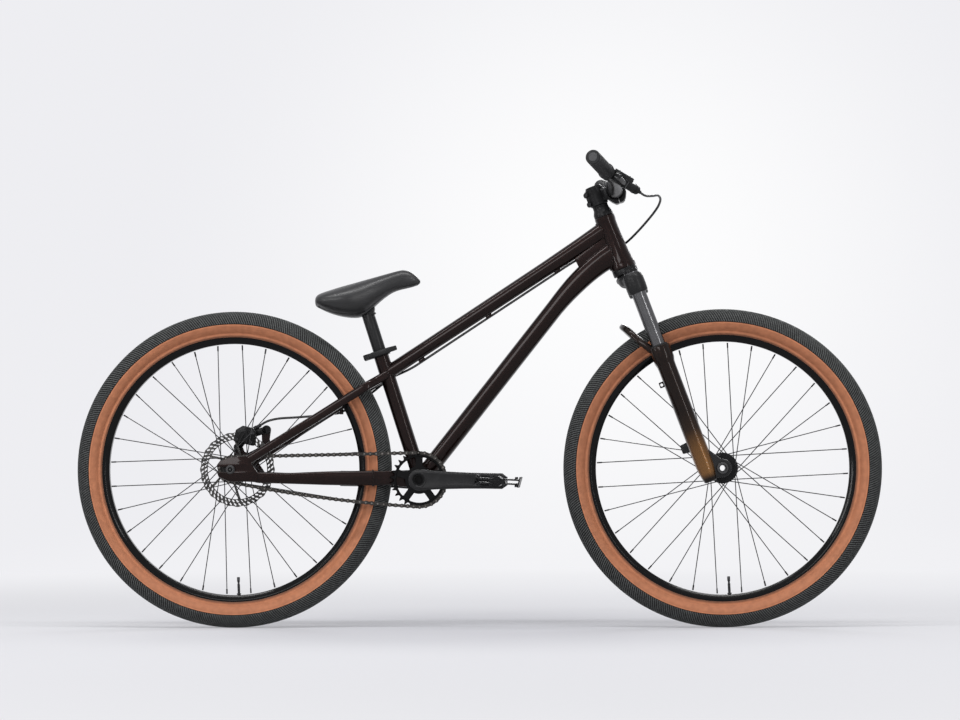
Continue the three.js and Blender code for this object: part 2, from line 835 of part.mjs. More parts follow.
// A roller at each pin, with a plate on each side reaching to the next pin.
// The teeth stand in the openings between the rollers.
function chainBody() {
  const positions = [];
  const triangle = (a, b, c, turn) => {
    const corners = turn ? [c, b, a] : [a, b, c];
    corners.forEach((p) => positions.push(p.x, p.y, p.z));
  };
  const quad = (a, b, c, d, turn) => {
    triangle(a, b, c, turn);
    triangle(a, c, d, turn);
  };
  const pins = Array.from({ length: chainLinks }, (_, i) => chainPoint(i));
  const at = (i) => pins[(i + chainLinks) % chainLinks];
  const half = plateHeight / 2;
  const stations = pins.map((pin, i) => {
    const along = at(i + 1).clone().sub(at(i - 1)).normalize();
    const up = vec(-along.z, 0, along.x);
    const corner = (step, y, height) => pin.clone()
      .addScaledVector(along, (step * rollerLength) / 2)
      .addScaledVector(up, height * half)
      .add(vec(0, y - chainline, 0));
    return {
      outer: (side, height) => corner(0, side * plateOutside, height),
      inner: (step, side, height) => corner(step, side * plateInside, height),
    };
  });
  stations.forEach((pin, i) => {
    const next = stations[(i + 1) % chainLinks];
    for (const side of [1, -1]) {
      const far = side < 0;
      quad(pin.outer(side, -1), pin.outer(side, 1), next.outer(side, 1), next.outer(side, -1), far);
      quad(pin.inner(1, side, 1), pin.inner(1, side, -1), next.inner(-1, side, -1),
        next.inner(-1, side, 1), far);
      quad(pin.inner(side, -1, -1), pin.inner(side, 1, -1), pin.inner(side, 1, 1),
        pin.inner(side, -1, 1), far);
      const high = side;
      const turn = side < 0;
      quad(pin.inner(-1, -1, high), pin.inner(1, -1, high), pin.inner(1, 1, high),
        pin.inner(-1, 1, high), turn);
      for (const flank of [1, -1]) {
        const flip = flank * high < 0;
        triangle(pin.outer(flank, high), pin.inner(-1, flank, high), pin.inner(1, flank, high), flip);
        quad(pin.outer(flank, high), pin.inner(1, flank, high), next.inner(-1, flank, high),
          next.outer(flank, high), flip);
      }
    }
  });
  const geometry = new THREE.BufferGeometry();
  geometry.setAttribute('position', new THREE.Float32BufferAttribute(positions, 3));
  return solid(geometry);
}

add(scene, 'chain', chainBody(), 'chain');

// Teeth stand midway between the chain's pins
function sprocketBody(teeth, phase, holes, middle) {
  const shape = outlineOf(toothedEdge(teeth, phase));
  for (const hole of holes) {
    shape.holes.push(pathOf(hole));
  }
  return plate(shape, toothThickness, middle);
}

const ringPhase = ringStart - Math.PI / ringTeeth + crankRestAngle;
const ringWindowOuter = ringPitchRadius - plateHeight / 2 - ringRim;
const ringHoles = armWindows(ringArms, ringArmWidth, ringHubRadius, ringWindowOuter, ringArmAngle, 2);
ringHoles.push(arcPoints(ringBore, 0, 2 * Math.PI * (1 - 1 / shaftSides), shaftSides - 1));
add(crankFrame, 'chainring', sprocketBody(ringTeeth, ringPhase, ringHoles, -chainline), 'blackForged');

const cogFirst = (Math.ceil(ringPitches + lowerPitches) - ringPitches - lowerPitches) + 0.5;
const cogPhase = cogStart - (cogFirst * 2 * Math.PI) / cogTeeth;
const cogHole = arcPoints(cogBore, 0, 2 * Math.PI * (1 - 1 / shaftSides), shaftSides - 1);
add(rearWheelFrame, 'rear_cog', sprocketBody(cogTeeth, cogPhase, [cogHole], -chainline), 'blackForged');

// Cranks

// Outline of a bar with a large round end at the origin and a small one ahead
function crankOutline(grow = 0) {
  const big = crankBossRadius + grow;
  const small = crankEndRadius + grow;
  const lean = Math.acos((big - small) / crankLength);
  return [
    ...arcPoints(big, lean, 2 * Math.PI - lean, 8),
    ...arcPoints(small, -lean, lean, 5).map(([x, z]) => [x + crankLength, z]),
  ];
}

// The arm leans outward from the boss to the pedal
function crankArmBody(hasRecess) {
  const flare = new THREE.Matrix4().makeShear(-crankFlare / crankLength, 0, 0, 0, 0, 0);
  const middle = -(crankInnerFace + crankThickness / 2);
  const arm = moved(plate(outlineOf(crankOutline()), crankThickness, middle, crankBevel), flare);
  const outerFace = crankInnerFace + crankThickness;
  const bossFace = hasRecess ? chainline + toothThickness / 2 + gap : shellWidth / 2 + cupLength + gap;
  const boss = bar(
    vec(0, -bossFace, 0),
    vec(0, -(crankInnerFace + crankThickness / 2), 0),
    crankBossRadius - crankBevel,
    shaftSides,
  );
  const spindleHole = clearBore(spindleRadius, shaftSides);
  const bore = bar(vec(0, 0, 0), vec(0, -(outerFace + overrun), 0), spindleHole, shaftSides);
  const pedalHole = bar(
    vec(crankLength, -crankInnerFace, 0),
    vec(crankLength, -(outerFace + crankFlare + overrun), 0),
    clearBore(pedalAxleRadius, smallSides),
    smallSides,
  );
  return cut(join(arm, boss), bore, pedalHole);
}

const crankOuterFace = crankInnerFace + crankThickness;
const spindleEnd = crankOuterFace - spindleRecess;
const rightCrank = crankArmBody(true);
add(crankFrame, 'crank_arm_right', rightCrank, 'blackForged');
const leftCrank = new THREE.Group();
leftCrank.rotation.y = Math.PI;
crankFrame.add(leftCrank);
add(leftCrank, 'crank_arm_left', mirrored(crankArmBody(false)), 'blackForged');
add(crankFrame, 'crank_spindle', turned([
  [spindleRadius, -spindleEnd], [spindleRadius, spindleEnd],
  [spindleBore, spindleEnd], [spindleBore, -spindleEnd],
]), 'blackMetal');

// Pedals, modelled about their axle with the outer end towards -Y

const pedalInnerFace = crankOuterFace + crankFlare * (1 + crankEndRadius / crankLength);
const pedalAxleLength = pedalInnerFace + gap + pedalWidth - pedalRail;

function pedalAxleBody() {
  const shaft = bar(vec(0, -crankInnerFace - crankFlare, 0), vec(0, -pedalAxleLength, 0),
    pedalAxleRadius, smallSides);
  const shoulder = bar(vec(0, -pedalInnerFace - gap, 0), vec(0, -pedalInnerFace - pedalRail / 2, 0),
    pedalAxleHeadRadius, smallSides);
  return join(shaft, shoulder);
}

// A toothed edge plate runs along the front and the back of the cage
function clawPlate(x) {
  const half = pedalWidth / 2;
  const points = [];
  const step = pedalWidth / pedalClaws;
  for (const side of [1, -1]) {
    for (let i = 0; i < pedalClaws; i += 1) {
      const start = -half + i * step;
      const low = (side * pedalHeight) / 2;
      const high = (side * pedalClawHeight) / 2;
      points.push([side * start, low], [side * (start + step * 0.3), high],
        [side * (start + step * 0.7), high]);
    }
    points.push([side * half, (side * pedalHeight) / 2]);
  }
  const shape = outlineOf(points);
  const geometry = new THREE.ExtrudeGeometry(shape, { depth: pedalClawDepth, bevelEnabled: false });
  geometry.rotateX(Math.PI / 2);
  geometry.rotateZ(Math.PI / 2);
  geometry.translate(x, 0, 0);
  return solid(geometry);
}

function pedalBody() {
  const start = pedalInnerFace + pedalRail / 2 + gap;
  const middle = -(start + pedalWidth / 2);
  const half = pedalLength / 2;
  const corner = pedalRail * 2;
  const shape = outlineOf([
    [-half, -pedalWidth / 2 + corner], [-half + corner, -pedalWidth / 2],
    [half - corner, -pedalWidth / 2], [half, -pedalWidth / 2 + corner],
    [half, pedalWidth / 2 - corner], [half - corner, pedalWidth / 2],
    [-half + corner, pedalWidth / 2], [-half, pedalWidth / 2 - corner],
  ]);
  for (const side of [1, -1]) {
    const near = side * (pedalBarrelRadius - pedalRail / 2);
    const far = side * (half - pedalRail);
    const end = pedalWidth / 2 - pedalRail;
    shape.holes.push(pathOf([[near, -end], [far, -end + corner], [far, end - corner], [near, end]]));
  }
  const cage = new THREE.ExtrudeGeometry(shape, { depth: pedalHeight, bevelEnabled: false });
  cage.translate(0, middle, -pedalHeight / 2);
  const claws = [half - pedalClawDepth / 2, -half - pedalClawDepth / 2]
    .map((x) => shifted(clawPlate(x), 0, middle, 0));
  const barrel = bar(vec(0, -start, 0), vec(0, -(start + pedalWidth), 0), pedalBarrelRadius, 12);
  const bore = bar(vec(0, -start + overrun, 0), vec(0, -pedalAxleLength - gap, 0),
    clearBore(pedalAxleRadius, smallSides, runningFit), smallSides);
  return cut(join(solid(cage), claws, barrel), bore);
}

const rightPedalFrame = new THREE.Group();
rightPedalFrame.position.set(crankLength, 0, 0);
rightPedalFrame.rotation.y = -pedalTilt;
crankFrame.add(rightPedalFrame);
add(rightPedalFrame, 'pedal_axle_right', pedalAxleBody(), 'blackMetal');
add(rightPedalFrame, 'pedal_right', pedalBody(), 'blackMetal');
const leftPedalFrame = new THREE.Group();
leftPedalFrame.position.set(-crankLength, 0, 0);
crankFrame.add(leftPedalFrame);
add(leftPedalFrame, 'pedal_axle_left', mirrored(pedalAxleBody()), 'blackMetal');
add(leftPedalFrame, 'pedal_left', mirrored(pedalBody()), 'blackMetal');

// Frame tubes. Each is cut back from its neighbour by the gap.

function shellCutter(grow = gap) {
  const end = shellWidth / 2 + overrun;
  return shifted(bar(vec(0, -end, 0), vec(0, end, 0), shellRadius + grow, tubeSides), bracketX, 0, bracketZ);
}

function seatTubeCutter(grow = gap) {
  const tube = bar(vec(0, 0, 0), vec(0, 0, seatTubeLength), seatTubeRadius + grow, tubeSides);
  return moved(tube, seatFrame.matrix);
}

function headTubeOutline(grow = 0) {
  const flare = headTubeLength / 4;
  return [
    [0, headTubeBase - grow],
    [headTubeLowerRadius + grow, headTubeBase - grow],
    [headTubeLowerRadius + grow, headTubeBase + headTubeRing],
    [headTubeLowerRadius * 0.92 + grow, headTubeBase + headTubeRing + flare / 3],
    [headTubeWaist + grow, headTubeTop - flare],
    [headTubeUpperRadius + grow, headTubeTop - headTubeRing],
    [headTubeUpperRadius + grow, headTubeTop + grow],
    [0, headTubeTop + grow],
  ];
}

function headTubeCutter() {
  return moved(turnedUpright(headTubeOutline(gap), tubeSides), steeringFrame.matrix);
}

function headTubeBody() {
  const ledge = bearingDepth + gap * 2;
  const bore = turnedUpright([
    [0, headTubeBase - overrun],
    [headTubeLowerBore, headTubeBase - overrun],
    [headTubeLowerBore, headTubeBase + ledge],
    [headTubeUpperBore, headTubeBase + ledge * 2],
    [headTubeUpperBore, headTubeTop + overrun],
    [0, headTubeTop + overrun],
  ], tubeSides);
  return cut(turnedUpright(headTubeOutline(), tubeSides), bore);
}

add(steeringFrame, 'head_tube', headTubeBody(), 'paint');

const topTubeSeatEnd = onSeat(topTubeSeatHeight);
const topTubeHeadEnd = onSteering(headTubeBase + topTubeHeadHeight);

function topTubeBlank(grow = 0) {
  const shares = [[0, topTubeRear], [0.2, topTubeRear], [0.72, topTubeMiddle], [0.88, topTubeFront * 0.9],
    [1, topTubeFront]];
  return tubeAlong(shares.map(([share, height]) => ({
    at: topTubeSeatEnd.clone().lerp(topTubeHeadEnd, share),
    width: topTubeWidth + 2 * grow,
    height: height + 2 * grow,
  })), 14, 2.2);
}

// The down tube runs straight from the bottom bracket, then bends forward to the head tube
function downTubeStations(grow = 0) {
  const start = vec(bracketX, 0, bracketZ);
  const along = vec(Math.cos(downTubeAngle), 0, Math.sin(downTubeAngle));
  const bend = start.clone().addScaledVector(along, downTubeStraight);
  const control = bend.clone().addScaledVector(along, downTubeBendReach);
  const head = onSteering(headTubeBase + downTubeHeadHeight);
  const curve = new THREE.QuadraticBezierCurve3(bend, control, head);
  const width = downTubeWidth + 2 * grow;
  const stations = [{ at: start, width, height: downTubeRear + 2 * grow }];
  const steps = 5;
  for (let i = 0; i <= steps; i += 1) {
    const share = i / steps;
    const depth = downTubeRear + (downTubeFront - downTubeRear) * (0.25 + 0.75 * share ** 1.6);
    stations.push({ at: curve.getPoint(share), width, height: depth + 2 * grow });
  }
  return stations;
}

const downTubeBlank = (grow = 0) => tubeAlong(downTubeStations(grow), 14, 2.6);

// Small loops under the top tube hold the brake hose
const guideShares = [0.75, 0.4415, 0.139];
const topTubeLine = topTubeHeadEnd.clone().sub(topTubeSeatEnd).normalize();
const belowTopTube = vec(topTubeLine.z, 0, -topTubeLine.x);

function guidePlace(share, reach) {
  return topTubeSeatEnd.clone().lerp(topTubeHeadEnd, share).addScaledVector(belowTopTube, reach);
}

function hoseGuide(share) {
  const tilt = new THREE.Matrix4().makeRotationY(-Math.atan2(topTubeLine.z, topTubeLine.x));
  tilt.setPosition(guidePlace(share, guideHoseReach - overrun / 2));
  return moved(block(vec(0, 0, 0), vec(guideLength, guideWidth, guideReach * 2 + overrun)), tilt);
}

function guideBore(share) {
  const middle = guidePlace(share, guideHoseReach);
  return bar(
    middle.clone().addScaledVector(topTubeLine, -guideLength),
    middle.clone().addScaledVector(topTubeLine, guideLength),
    clearBore(hoseRadius, hoseSides, runningFit * 3),
    hoseSides,
  );
}

// The brake hose: from the lever, round the head tube, under the top tube and down the left stay.
// Its points are chosen by hand.
const hoseRoute = [
  [346.5, -170, 903], [353, -160, 898.5], [361, -148, 896.5], [373, -130, 898], [383, -108, 900.5],
  [388, -84, 894.5], [384, -60, 883], [374, -38, 869.5], [359, -15, 853], [341.5, 6, 835],
  [320, 23, 815], [300, 31, 801], [280, 32, 793], [262, 27, 791.5], [245, 17, 788.5],
  [228, 7, 781.5], [208, 1, 771.5], [187.3, 0, 759], [153.8, 0, 737.2], [95.2, 0, 698.9],
  [40.8, 0, 663.4], [11.4, 0, 644.3], [-47.2, 0, 606], [-101.6, 0, 570.5], [-130.9, 0, 551.4],
  [-150, 6, 541.5], [-168, 16, 534], [-186, 25, 526], [-204, 30, 513], [-222, 36, 499],
  [-240, 41, 486.5], [-262, 45.5, 472.3], [-292, 50.5, 455.3], [-306, 56, 452.2], [-322, 58.5, 450.5],
  [-338, 58, 449], [-355, 56.5, 447], [-390, 57.5, 444.5], [-425, 60, 442.5], [-446, 60.5, 438.5],
  [-456.5, 60, 434.3], [-466, 59, 428.5],
];

function hoseBody(grow = 0) {
  const curve = new THREE.CatmullRomCurve3(hoseRoute.map(([x, y, z]) => vec(x, y, z)));
  const shape = new THREE.Shape();
  const radius = hoseRadius + grow;
  for (let i = 0; i < hoseSides; i += 1) {
    const angle = (2 * Math.PI * i) / hoseSides;
    const [x, y] = [radius * Math.cos(angle), radius * Math.sin(angle)];
    if (i === 0) shape.moveTo(x, y);
    else shape.lineTo(x, y);
  }
  shape.closePath();
  return solid(new THREE.ExtrudeGeometry(shape, { extrudePath: curve, steps: hoseSteps, curveSegments: 1 }));
}

add(scene, 'brake_hose', hoseBody(), 'hose');

const hoseClearance = hoseBody(gap);

const topTube = cut(
  join(topTubeBlank(), guideShares.map(hoseGuide)),
  headTubeCutter(),
  seatTubeCutter(),
  guideShares.map(guideBore),
);
add(scene, 'top_tube', topTube, 'paint');
const downTube = cut(
  downTubeBlank(),
  headTubeCutter(),
  shellCutter(),
  topTubeBlank(gap),
  seatTubeCutter(),
);
add(scene, 'down_tube', downTube, 'paint');

function seatTubeBody() {
  const bore = clearBore(seatPostRadius, tubeSides);
  const tube = turnedUpright([
    [bore, 0], [seatTubeRadius, 0], [seatTubeRadius, seatTubeLength], [bore, seatTubeLength],
  ], tubeSides);
  return cut(moved(tube, seatFrame.matrix), shellCutter());
}

add(scene, 'seat_tube', seatTubeBody(), 'paint');

const shellBore = shellRadius - shellWall;
add(scene, 'bottom_bracket_shell', shifted(turned([
  [shellBore, -shellWidth / 2], [shellRadius, -shellWidth / 2],
  [shellRadius, shellWidth / 2], [shellBore, shellWidth / 2],
], tubeSides), bracketX, 0, bracketZ), 'paint');

function cupBody() {
  const face = shellWidth / 2 + gap;
  const bore = clearBore(spindleRadius, shaftSides, runningFit);
  const sleeve = shellBore * Math.cos(Math.PI / tubeSides) - gap;
  return shifted(turned([
    [bore, face + cupLength - gap], [cupRadius, face + cupLength - gap], [cupRadius, face],
    [sleeve, face], [sleeve, face - cupSleeve], [bore, face - cupSleeve],
  ]), bracketX, 0, bracketZ);
}

add(scene, 'bottom_bracket_cup_left', cupBody(), 'blackMetal');
add(scene, 'bottom_bracket_cup_right', mirrored(cupBody()), 'blackMetal');

// Chainstay yoke: two flat cheeks beside the tyre, joined behind the bottom bracket

function wheelClearance() {
  const half = chainstayFrontSpread - chainstayFrontWidth / 2 - 1;
  const outline = casingOval(half, tyreHeight / 2 + overrun, casingCentre, Math.PI / 2, 4);
  const ring = turned([...outline, [casingCentre - tyreHeight, half], [casingCentre - tyreHeight, -half]],
    wheelSides);
  return shifted(ring, rearAxleX, 0, axleZ);
}

const forward = vec(1, 0, 0);
const yokeRearX = bracketX - shellRadius - yokeLength;
const stayHeightZ = bracketZ + 4;

function yokeBody() {
  const cheekMiddle = yokeHalfWidth - yokeThickness / 2;
  const besideShell = shellWidth / 2 - yokeThickness / 2 - gap;
  const cheek = tubeAlong([
    { at: vec(yokeRearX, chainstayFrontSpread, stayHeightZ), width: chainstayFrontWidth,
      height: chainstayFrontHeight, along: forward },
    { at: vec(yokeRearX + yokeLength * 0.25, (chainstayFrontSpread + cheekMiddle) / 2, stayHeightZ),
      width: chainstayFrontWidth * 0.75, height: yokeHeight },
    { at: vec(yokeRearX + yokeLength * 0.5, cheekMiddle, stayHeightZ), width: yokeThickness,
      height: yokeHeight },
    { at: vec(bracketX - shellRadius - overrun, besideShell, bracketZ), width: yokeThickness,
      height: yokeHeight },
    { at: vec(bracketX, besideShell, bracketZ), width: yokeThickness, height: yokeHeight },
  ], 12, 5);
  const bridgeCentre = vec(bracketX - shellRadius - yokeBridgeLength / 2 + overrun, 0, bracketZ);
  const bridge = block(bridgeCentre, vec(yokeBridgeLength + overrun * 2, yokeHalfWidth * 1.7, yokeHeight * 0.8));
  return cut(join(cheek, mirrored(cheek), bridge), shellCutter(), seatTubeCutter(), wheelClearance());
}

add(scene, 'chainstay_yoke', yokeBody(), 'paint');

const stayRearX = rearAxleX + dropoutFrontReach;

function chainstayBody() {
  const run = yokeRearX - stayRearX;
  const backward = vec(-1, 0, 0);
  return tubeAlong([
    { at: vec(yokeRearX - gap, chainstayFrontSpread, stayHeightZ), width: chainstayFrontWidth,
      height: chainstayFrontHeight, along: backward },
    { at: vec(yokeRearX - run * 0.4, chainstayFrontSpread + 3.5, stayHeightZ), width: chainstayFrontWidth,
      height: (chainstayFrontHeight * 2 + chainstayRearHeight) / 3 },
    { at: vec(yokeRearX - run * 0.75, chainstayFrontSpread + 12.5, stayHeightZ),
      width: chainstayRearWidth, height: chainstayRearHeight },
    { at: vec(stayRearX + gap, dropoutSpread - 1, stayHeightZ + 2), width: chainstayRearWidth,
      height: chainstayRearHeight, along: backward },
  ], 12, 2.6);
}

// Seatstays leave the dropouts, pass the tyre and turn in to the seat tube
const staySlope = THREE.MathUtils.degToRad(32);
const seatstayTop = onSeat(seatstayJoint);
const downStay = vec(-Math.cos(staySlope), 0, -Math.sin(staySlope));
const acrossStay = vec(-Math.sin(staySlope), 0, Math.cos(staySlope));

function seatstayPoint(run, spread) {
  const point = seatstayTop.clone().addScaledVector(downStay, run);
  point.y = spread;
  return point;
}

const seatstayRun = (seatstayTop.x - stayRearX) / Math.cos(staySlope) + dropoutHeight * 0.75;

function seatstayBody() {
  const clear = seatstayRadius + tyreWidth / 2 + overrun;
  const places = [
    [0, seatTubeRadius * 0.5], [seatTubeRadius * 1.6, seatTubeRadius * 1.5], [seatTubeRadius * 2.9, clear - 2],
    [seatTubeRadius * 4.2, clear - 0.5], [seatstayRun * 0.55, clear + 3], [seatstayRun * 0.82, dropoutSpread - 4],
    [seatstayRun, dropoutSpread],
  ];
  return tubeAlong(places.map(([run, spread]) => ({
    at: seatstayPoint(run, spread), width: seatstayRadius * 2, height: seatstayDepth * 2,
    along: run === seatstayRun ? downStay : null,
  })), 10);
}

// Dropouts: flat plates with a slot open to the rear, and a socket for each stay
const dropoutInner = rearHubWidth / 2;

function dropoutPlate() {
  const half = dropoutHeight;
  const rear = -dropoutRearReach;
  const slot = rearAxleRadius + runningFit;
  const foot = seatstayPoint(seatstayRun, 0).addScaledVector(downStay, gap * 2);
  const upper = foot.clone().addScaledVector(acrossStay, seatstayDepth);
  const lower = foot.clone().addScaledVector(acrossStay, -seatstayDepth);
  const front = dropoutFrontReach - gap * 2;
  const end = dropoutSlotLength - dropoutRearReach;
  const points = [
    [front, -half], [front, -half * 0.2], [lower.x - rearAxleX, lower.z - axleZ],
    [upper.x - rearAxleX, upper.z - axleZ], [0, half * 0.95], [rear * 0.8, half * 0.62],
    [rear, slot + half * 0.15], [rear, slot], [end, slot], [end, -slot],
    [rear, -slot], [rear * 0.9, -half * 0.55], [0, -half * 0.95], [front * 0.6, -half * 0.95],
  ];
  const sheet = plate(outlineOf(points), dropoutThickness, dropoutInner + dropoutThickness / 2);
  return shifted(sheet, rearAxleX, 0, axleZ);
}

function dropoutBody() {
  const socketDepth = dropoutHeight * 0.5;
  const inset = dropoutSpread + dropoutThickness * 0.75;
  const lowSocket = tubeAlong([
    { at: vec(stayRearX, dropoutSpread - 1, stayHeightZ + 2), width: chainstayRearWidth,
      height: chainstayRearHeight, along: forward },
    { at: vec(stayRearX - socketDepth, inset, stayHeightZ + 4), width: dropoutThickness * 1.4,
      height: chainstayRearHeight * 0.8, along: forward },
  ], 12, 2.6);
  const highSocket = tubeAlong([
    { at: seatstayPoint(seatstayRun + gap, dropoutSpread), width: seatstayRadius * 2,
      height: seatstayDepth * 2, along: downStay },
    { at: seatstayPoint(seatstayRun + socketDepth, inset), width: dropoutThickness * 1.4,
      height: seatstayDepth * 1.6, along: downStay },
  ], 10);
  return join(dropoutPlate(), lowSocket, highSocket);
}

const seatstay = cut(seatstayBody(), seatTubeCutter(), topTubeBlank(gap));
add(scene, 'seatstay_right', mirrored(seatstay), 'paint');
add(scene, 'chainstay_left', chainstayBody(), 'paint');
add(scene, 'chainstay_right', mirrored(chainstayBody()), 'paint');
add(scene, 'dropout_right', mirrored(dropoutBody()), 'paint');

// The left side also carries the disc brake: a tab on the dropout and one on the seatstay,
// both bolted to the caliper across the bicycle
const tabPlane = dropoutInner - tabSetback - tabThickness / 2;

function tabPlate(x, z, foot) {
  const rise = arcPoints(tabRadius, 0, Math.PI, 4).map(([px, pz]) => [x + px, z + pz]);
  const shape = outlineOf([...rise, ...foot]);
  return plate(shape, tabThickness, tabPlane);
}

function tabHole(x, z) {
  const end = tabThickness + overrun;
  const hole = clearBore(tabBoltRadius, smallSides);
  return bar(vec(x, tabPlane - end, z), vec(x, tabPlane + end, z), hole);
}

const rearTab = [rearAxleX + rearTabAhead, axleZ + rearTabRise];
const frontTab = [rearAxleX + frontTabAhead, axleZ + frontTabRise];
const rearTabFoot = [[rearTab[0] - tabRadius, axleZ + dropoutHeight * 0.68],
  [rearTab[0] + tabRadius * 2, axleZ + dropoutHeight * 0.68]];
const rearTabWeb = block(
  vec(rearTab[0] + tabRadius / 2, dropoutInner + dropoutThickness / 2 - tabSetback, axleZ + dropoutHeight * 0.85),
  vec(tabRadius * 2, tabSetback + dropoutThickness, dropoutHeight * 0.34),
);
const frontTabFoot = [[frontTab[0] - tabRadius, frontTab[1] - tabRadius * 4.9],
  [frontTab[0] + tabRadius, frontTab[1] - tabRadius * 4.3]];

add(scene, 'dropout_left', cut(
  join(dropoutBody(), tabPlate(...rearTab, rearTabFoot), rearTabWeb),
  tabHole(...rearTab),
), 'paint');
const stayGuide = block(
  vec(rearAxleX + stayGuideAhead, stayGuideSpread, stayGuideHeight),
  vec(guideLength, guideWidth, guideReach * 3),
);
add(scene, 'seatstay_left', cut(
  join(seatstay, tabPlate(...frontTab, frontTabFoot), stayGuide),
  tabHole(...frontTab),
  hoseClearance,
), 'paint');

// The caliper straddles the rotor; its own frame points outward along the wheel's radius
const caliperFrame = new THREE.Matrix4().makeRotationY(Math.PI / 2 - caliperAngle);
caliperFrame.setPosition(
  rearAxleX + caliperRadius * Math.cos(caliperAngle),
  rotorPlane,
  axleZ + caliperRadius * Math.sin(caliperAngle),
);

function hoseEnd(atStart) {
  const list = atStart ? hoseRoute : [...hoseRoute].reverse();
  const tip = vec(...list[0]);
  const outward = tip.clone().sub(vec(...list[1])).normalize();
  return { tip, outward };
}

function caliperBody() {
  const slot = rotorThickness + 2 * (padClearance + padThickness + gap);
  const corner = caliperHeight * 0.22;
  const [halfL, halfH] = [caliperLength / 2, caliperHeight / 2];
  const body = plate(outlineOf([
    [-halfL, -halfH], [halfL, -halfH], [halfL, halfH - corner], [halfL - corner, halfH],
    [-halfL + corner * 1.5, halfH], [-halfL, halfH - corner * 1.5],
  ]), caliperWidth, 0, caliperBevel);
  const slotTop = rotorRadius + padClearance * 2 - caliperRadius;
  const slotBox = block(
    vec(0, 0, (slotTop - halfH - overrun) / 2),
    vec(caliperLength + overrun, slot, slotTop + halfH + overrun),
  );
  const pistons = [1, -1].map((side) => bar(
    vec(0, (side * caliperWidth) / 2 - side * overrun, -padDrop),
    vec(0, (side * caliperWidth) / 2 + side * pistonBossHeight, -padDrop),
    pistonBossRadius,
    10,
  ));
  const straddle = moved(cut(join(body, pistons), slotBox), caliperFrame);
  const earPlane = tabPlane - tabThickness / 2 - gap - earThickness / 2;
  const ears = [[rearTab, -1], [frontTab, 1]].map(([[x, z], ahead]) => {
    const root = vec(ahead * caliperLength * 0.3, 0, -ahead * 0).applyMatrix4(caliperFrame);
    const top = arcPoints(tabRadius, -Math.PI / 2, Math.PI / 2, 4)
      .map(([px, pz]) => (ahead > 0 ? [x + px, z + pz] : [x - px, z - pz]));
    const back = ahead > 0
      ? [[root.x, root.z + tabRadius], [root.x, root.z - tabRadius]]
      : [[root.x, root.z - tabRadius], [root.x, root.z + tabRadius]];
    return plate(outlineOf([...top, ...back]), earThickness, earPlane);
  });
  const bolts = [rearTab, frontTab].map(([x, z]) => join(
    bar(vec(x, earPlane, z), vec(x, tabPlane + tabThickness / 2 + tabBoltRadius, z), tabBoltRadius),
    bar(
      vec(x, tabPlane + tabThickness / 2 + gap, z),
      vec(x, tabPlane + tabThickness / 2 + tabBoltRadius, z),
      tabBoltRadius * 1.7,
    ),
  ));
  const { tip, outward } = hoseEnd(false);
  const near = tip.clone().addScaledVector(outward, gap);
  const ferrule = bar(near.clone().addScaledVector(outward, ferruleLength), near, ferruleRadius);
  const neck = bar(
    near.clone().addScaledVector(outward, ferruleLength * 0.8),
    vec(caliperLength * 0.2, caliperWidth * 0.3, caliperHeight * 0.3).applyMatrix4(caliperFrame),
    ferruleRadius * 1.3,
  );
  return join(straddle, ears, bolts, ferrule, neck);
}

add(scene, 'brake_caliper', caliperBody(), 'blackMetal');

for (const [name, side] of [['brake_pad_inner', -1], ['brake_pad_outer', 1]]) {
  const face = rotorThickness / 2 + padClearance + padThickness / 2;
  const pad = block(vec(0, side * face, -padDrop), vec(padLength, padThickness, padHeight));
  add(scene, name, moved(pad, caliperFrame), 'pad');
}

// Rear axle bolts, clamped against the outer faces of the dropouts
const dropoutOuter = dropoutInner + dropoutThickness + gap;
const rearAxleEnd = dropoutOuter + axleHeadLength;
add(rearWheelFrame, 'rear_axle', turned([
  [0, -rearAxleEnd], [axleHeadRadius, -rearAxleEnd], [axleHeadRadius, -dropoutOuter],
  [rearAxleRadius, -dropoutOuter], [rearAxleRadius, dropoutOuter], [axleHeadRadius, dropoutOuter],
  [axleHeadRadius, rearAxleEnd], [0, rearAxleEnd],
]), 'blackMetal');

// Seat clamp with a quick-release lever, seat post and saddle

const clampTop = seatTubeLength;
const clampMiddle = clampTop - clampHeight / 2;
const clampPivotX = -(clampRadius + clampEarLength * 0.55);
const clampPivotY = -(clampEarWidth / 2 + gap + clampCamRadius);

function seatClampBody() {
  const ring = turnedUpright([
    [clearBore(seatTubeRadius, tubeSides), clampTop - clampHeight], [clampRadius, clampTop - clampHeight],
    [clampRadius, clampTop], [clearBore(seatTubeRadius, tubeSides), clampTop],
  ], tubeSides);
  const earX = -(clampRadius + clampEarLength / 2 - clampSlit);
  const ears = block(
    vec(earX, 0, clampMiddle),
    vec(clampEarLength + clampSlit * 2, clampEarWidth, clampHeight),
  );
  const tube = bar(vec(0, 0, clampTop - clampHeight * 2), vec(0, 0, clampTop + overrun),
    clearBore(seatTubeRadius, tubeSides), tubeSides);
  const slit = block(
    vec(-clampRadius - clampEarLength / 2, 0, clampMiddle),
    vec(clampEarLength * 2, clampSlit, clampHeight * 2),
  );
  const skewer = bar(
    vec(clampPivotX, clampEarWidth / 2 + axleHeadLength, clampMiddle),
    vec(clampPivotX, clampPivotY, clampMiddle),
    clampLeverPinRadius,
  );
  const nut = bar(
    vec(clampPivotX, clampEarWidth / 2 + axleHeadLength, clampMiddle),
    vec(clampPivotX, clampEarWidth / 2 - gap, clampMiddle),
    clampLeverPinRadius * 1.9,
  );
  const pin = bar(
    vec(clampPivotX, clampPivotY, clampMiddle - clampLeverHeight / 2),
    vec(clampPivotX, clampPivotY, clampMiddle + clampLeverHeight / 2),
    clampLeverPinRadius,
  );
  return join(cut(join(ring, ears), tube, slit), skewer, nut, pin);
}

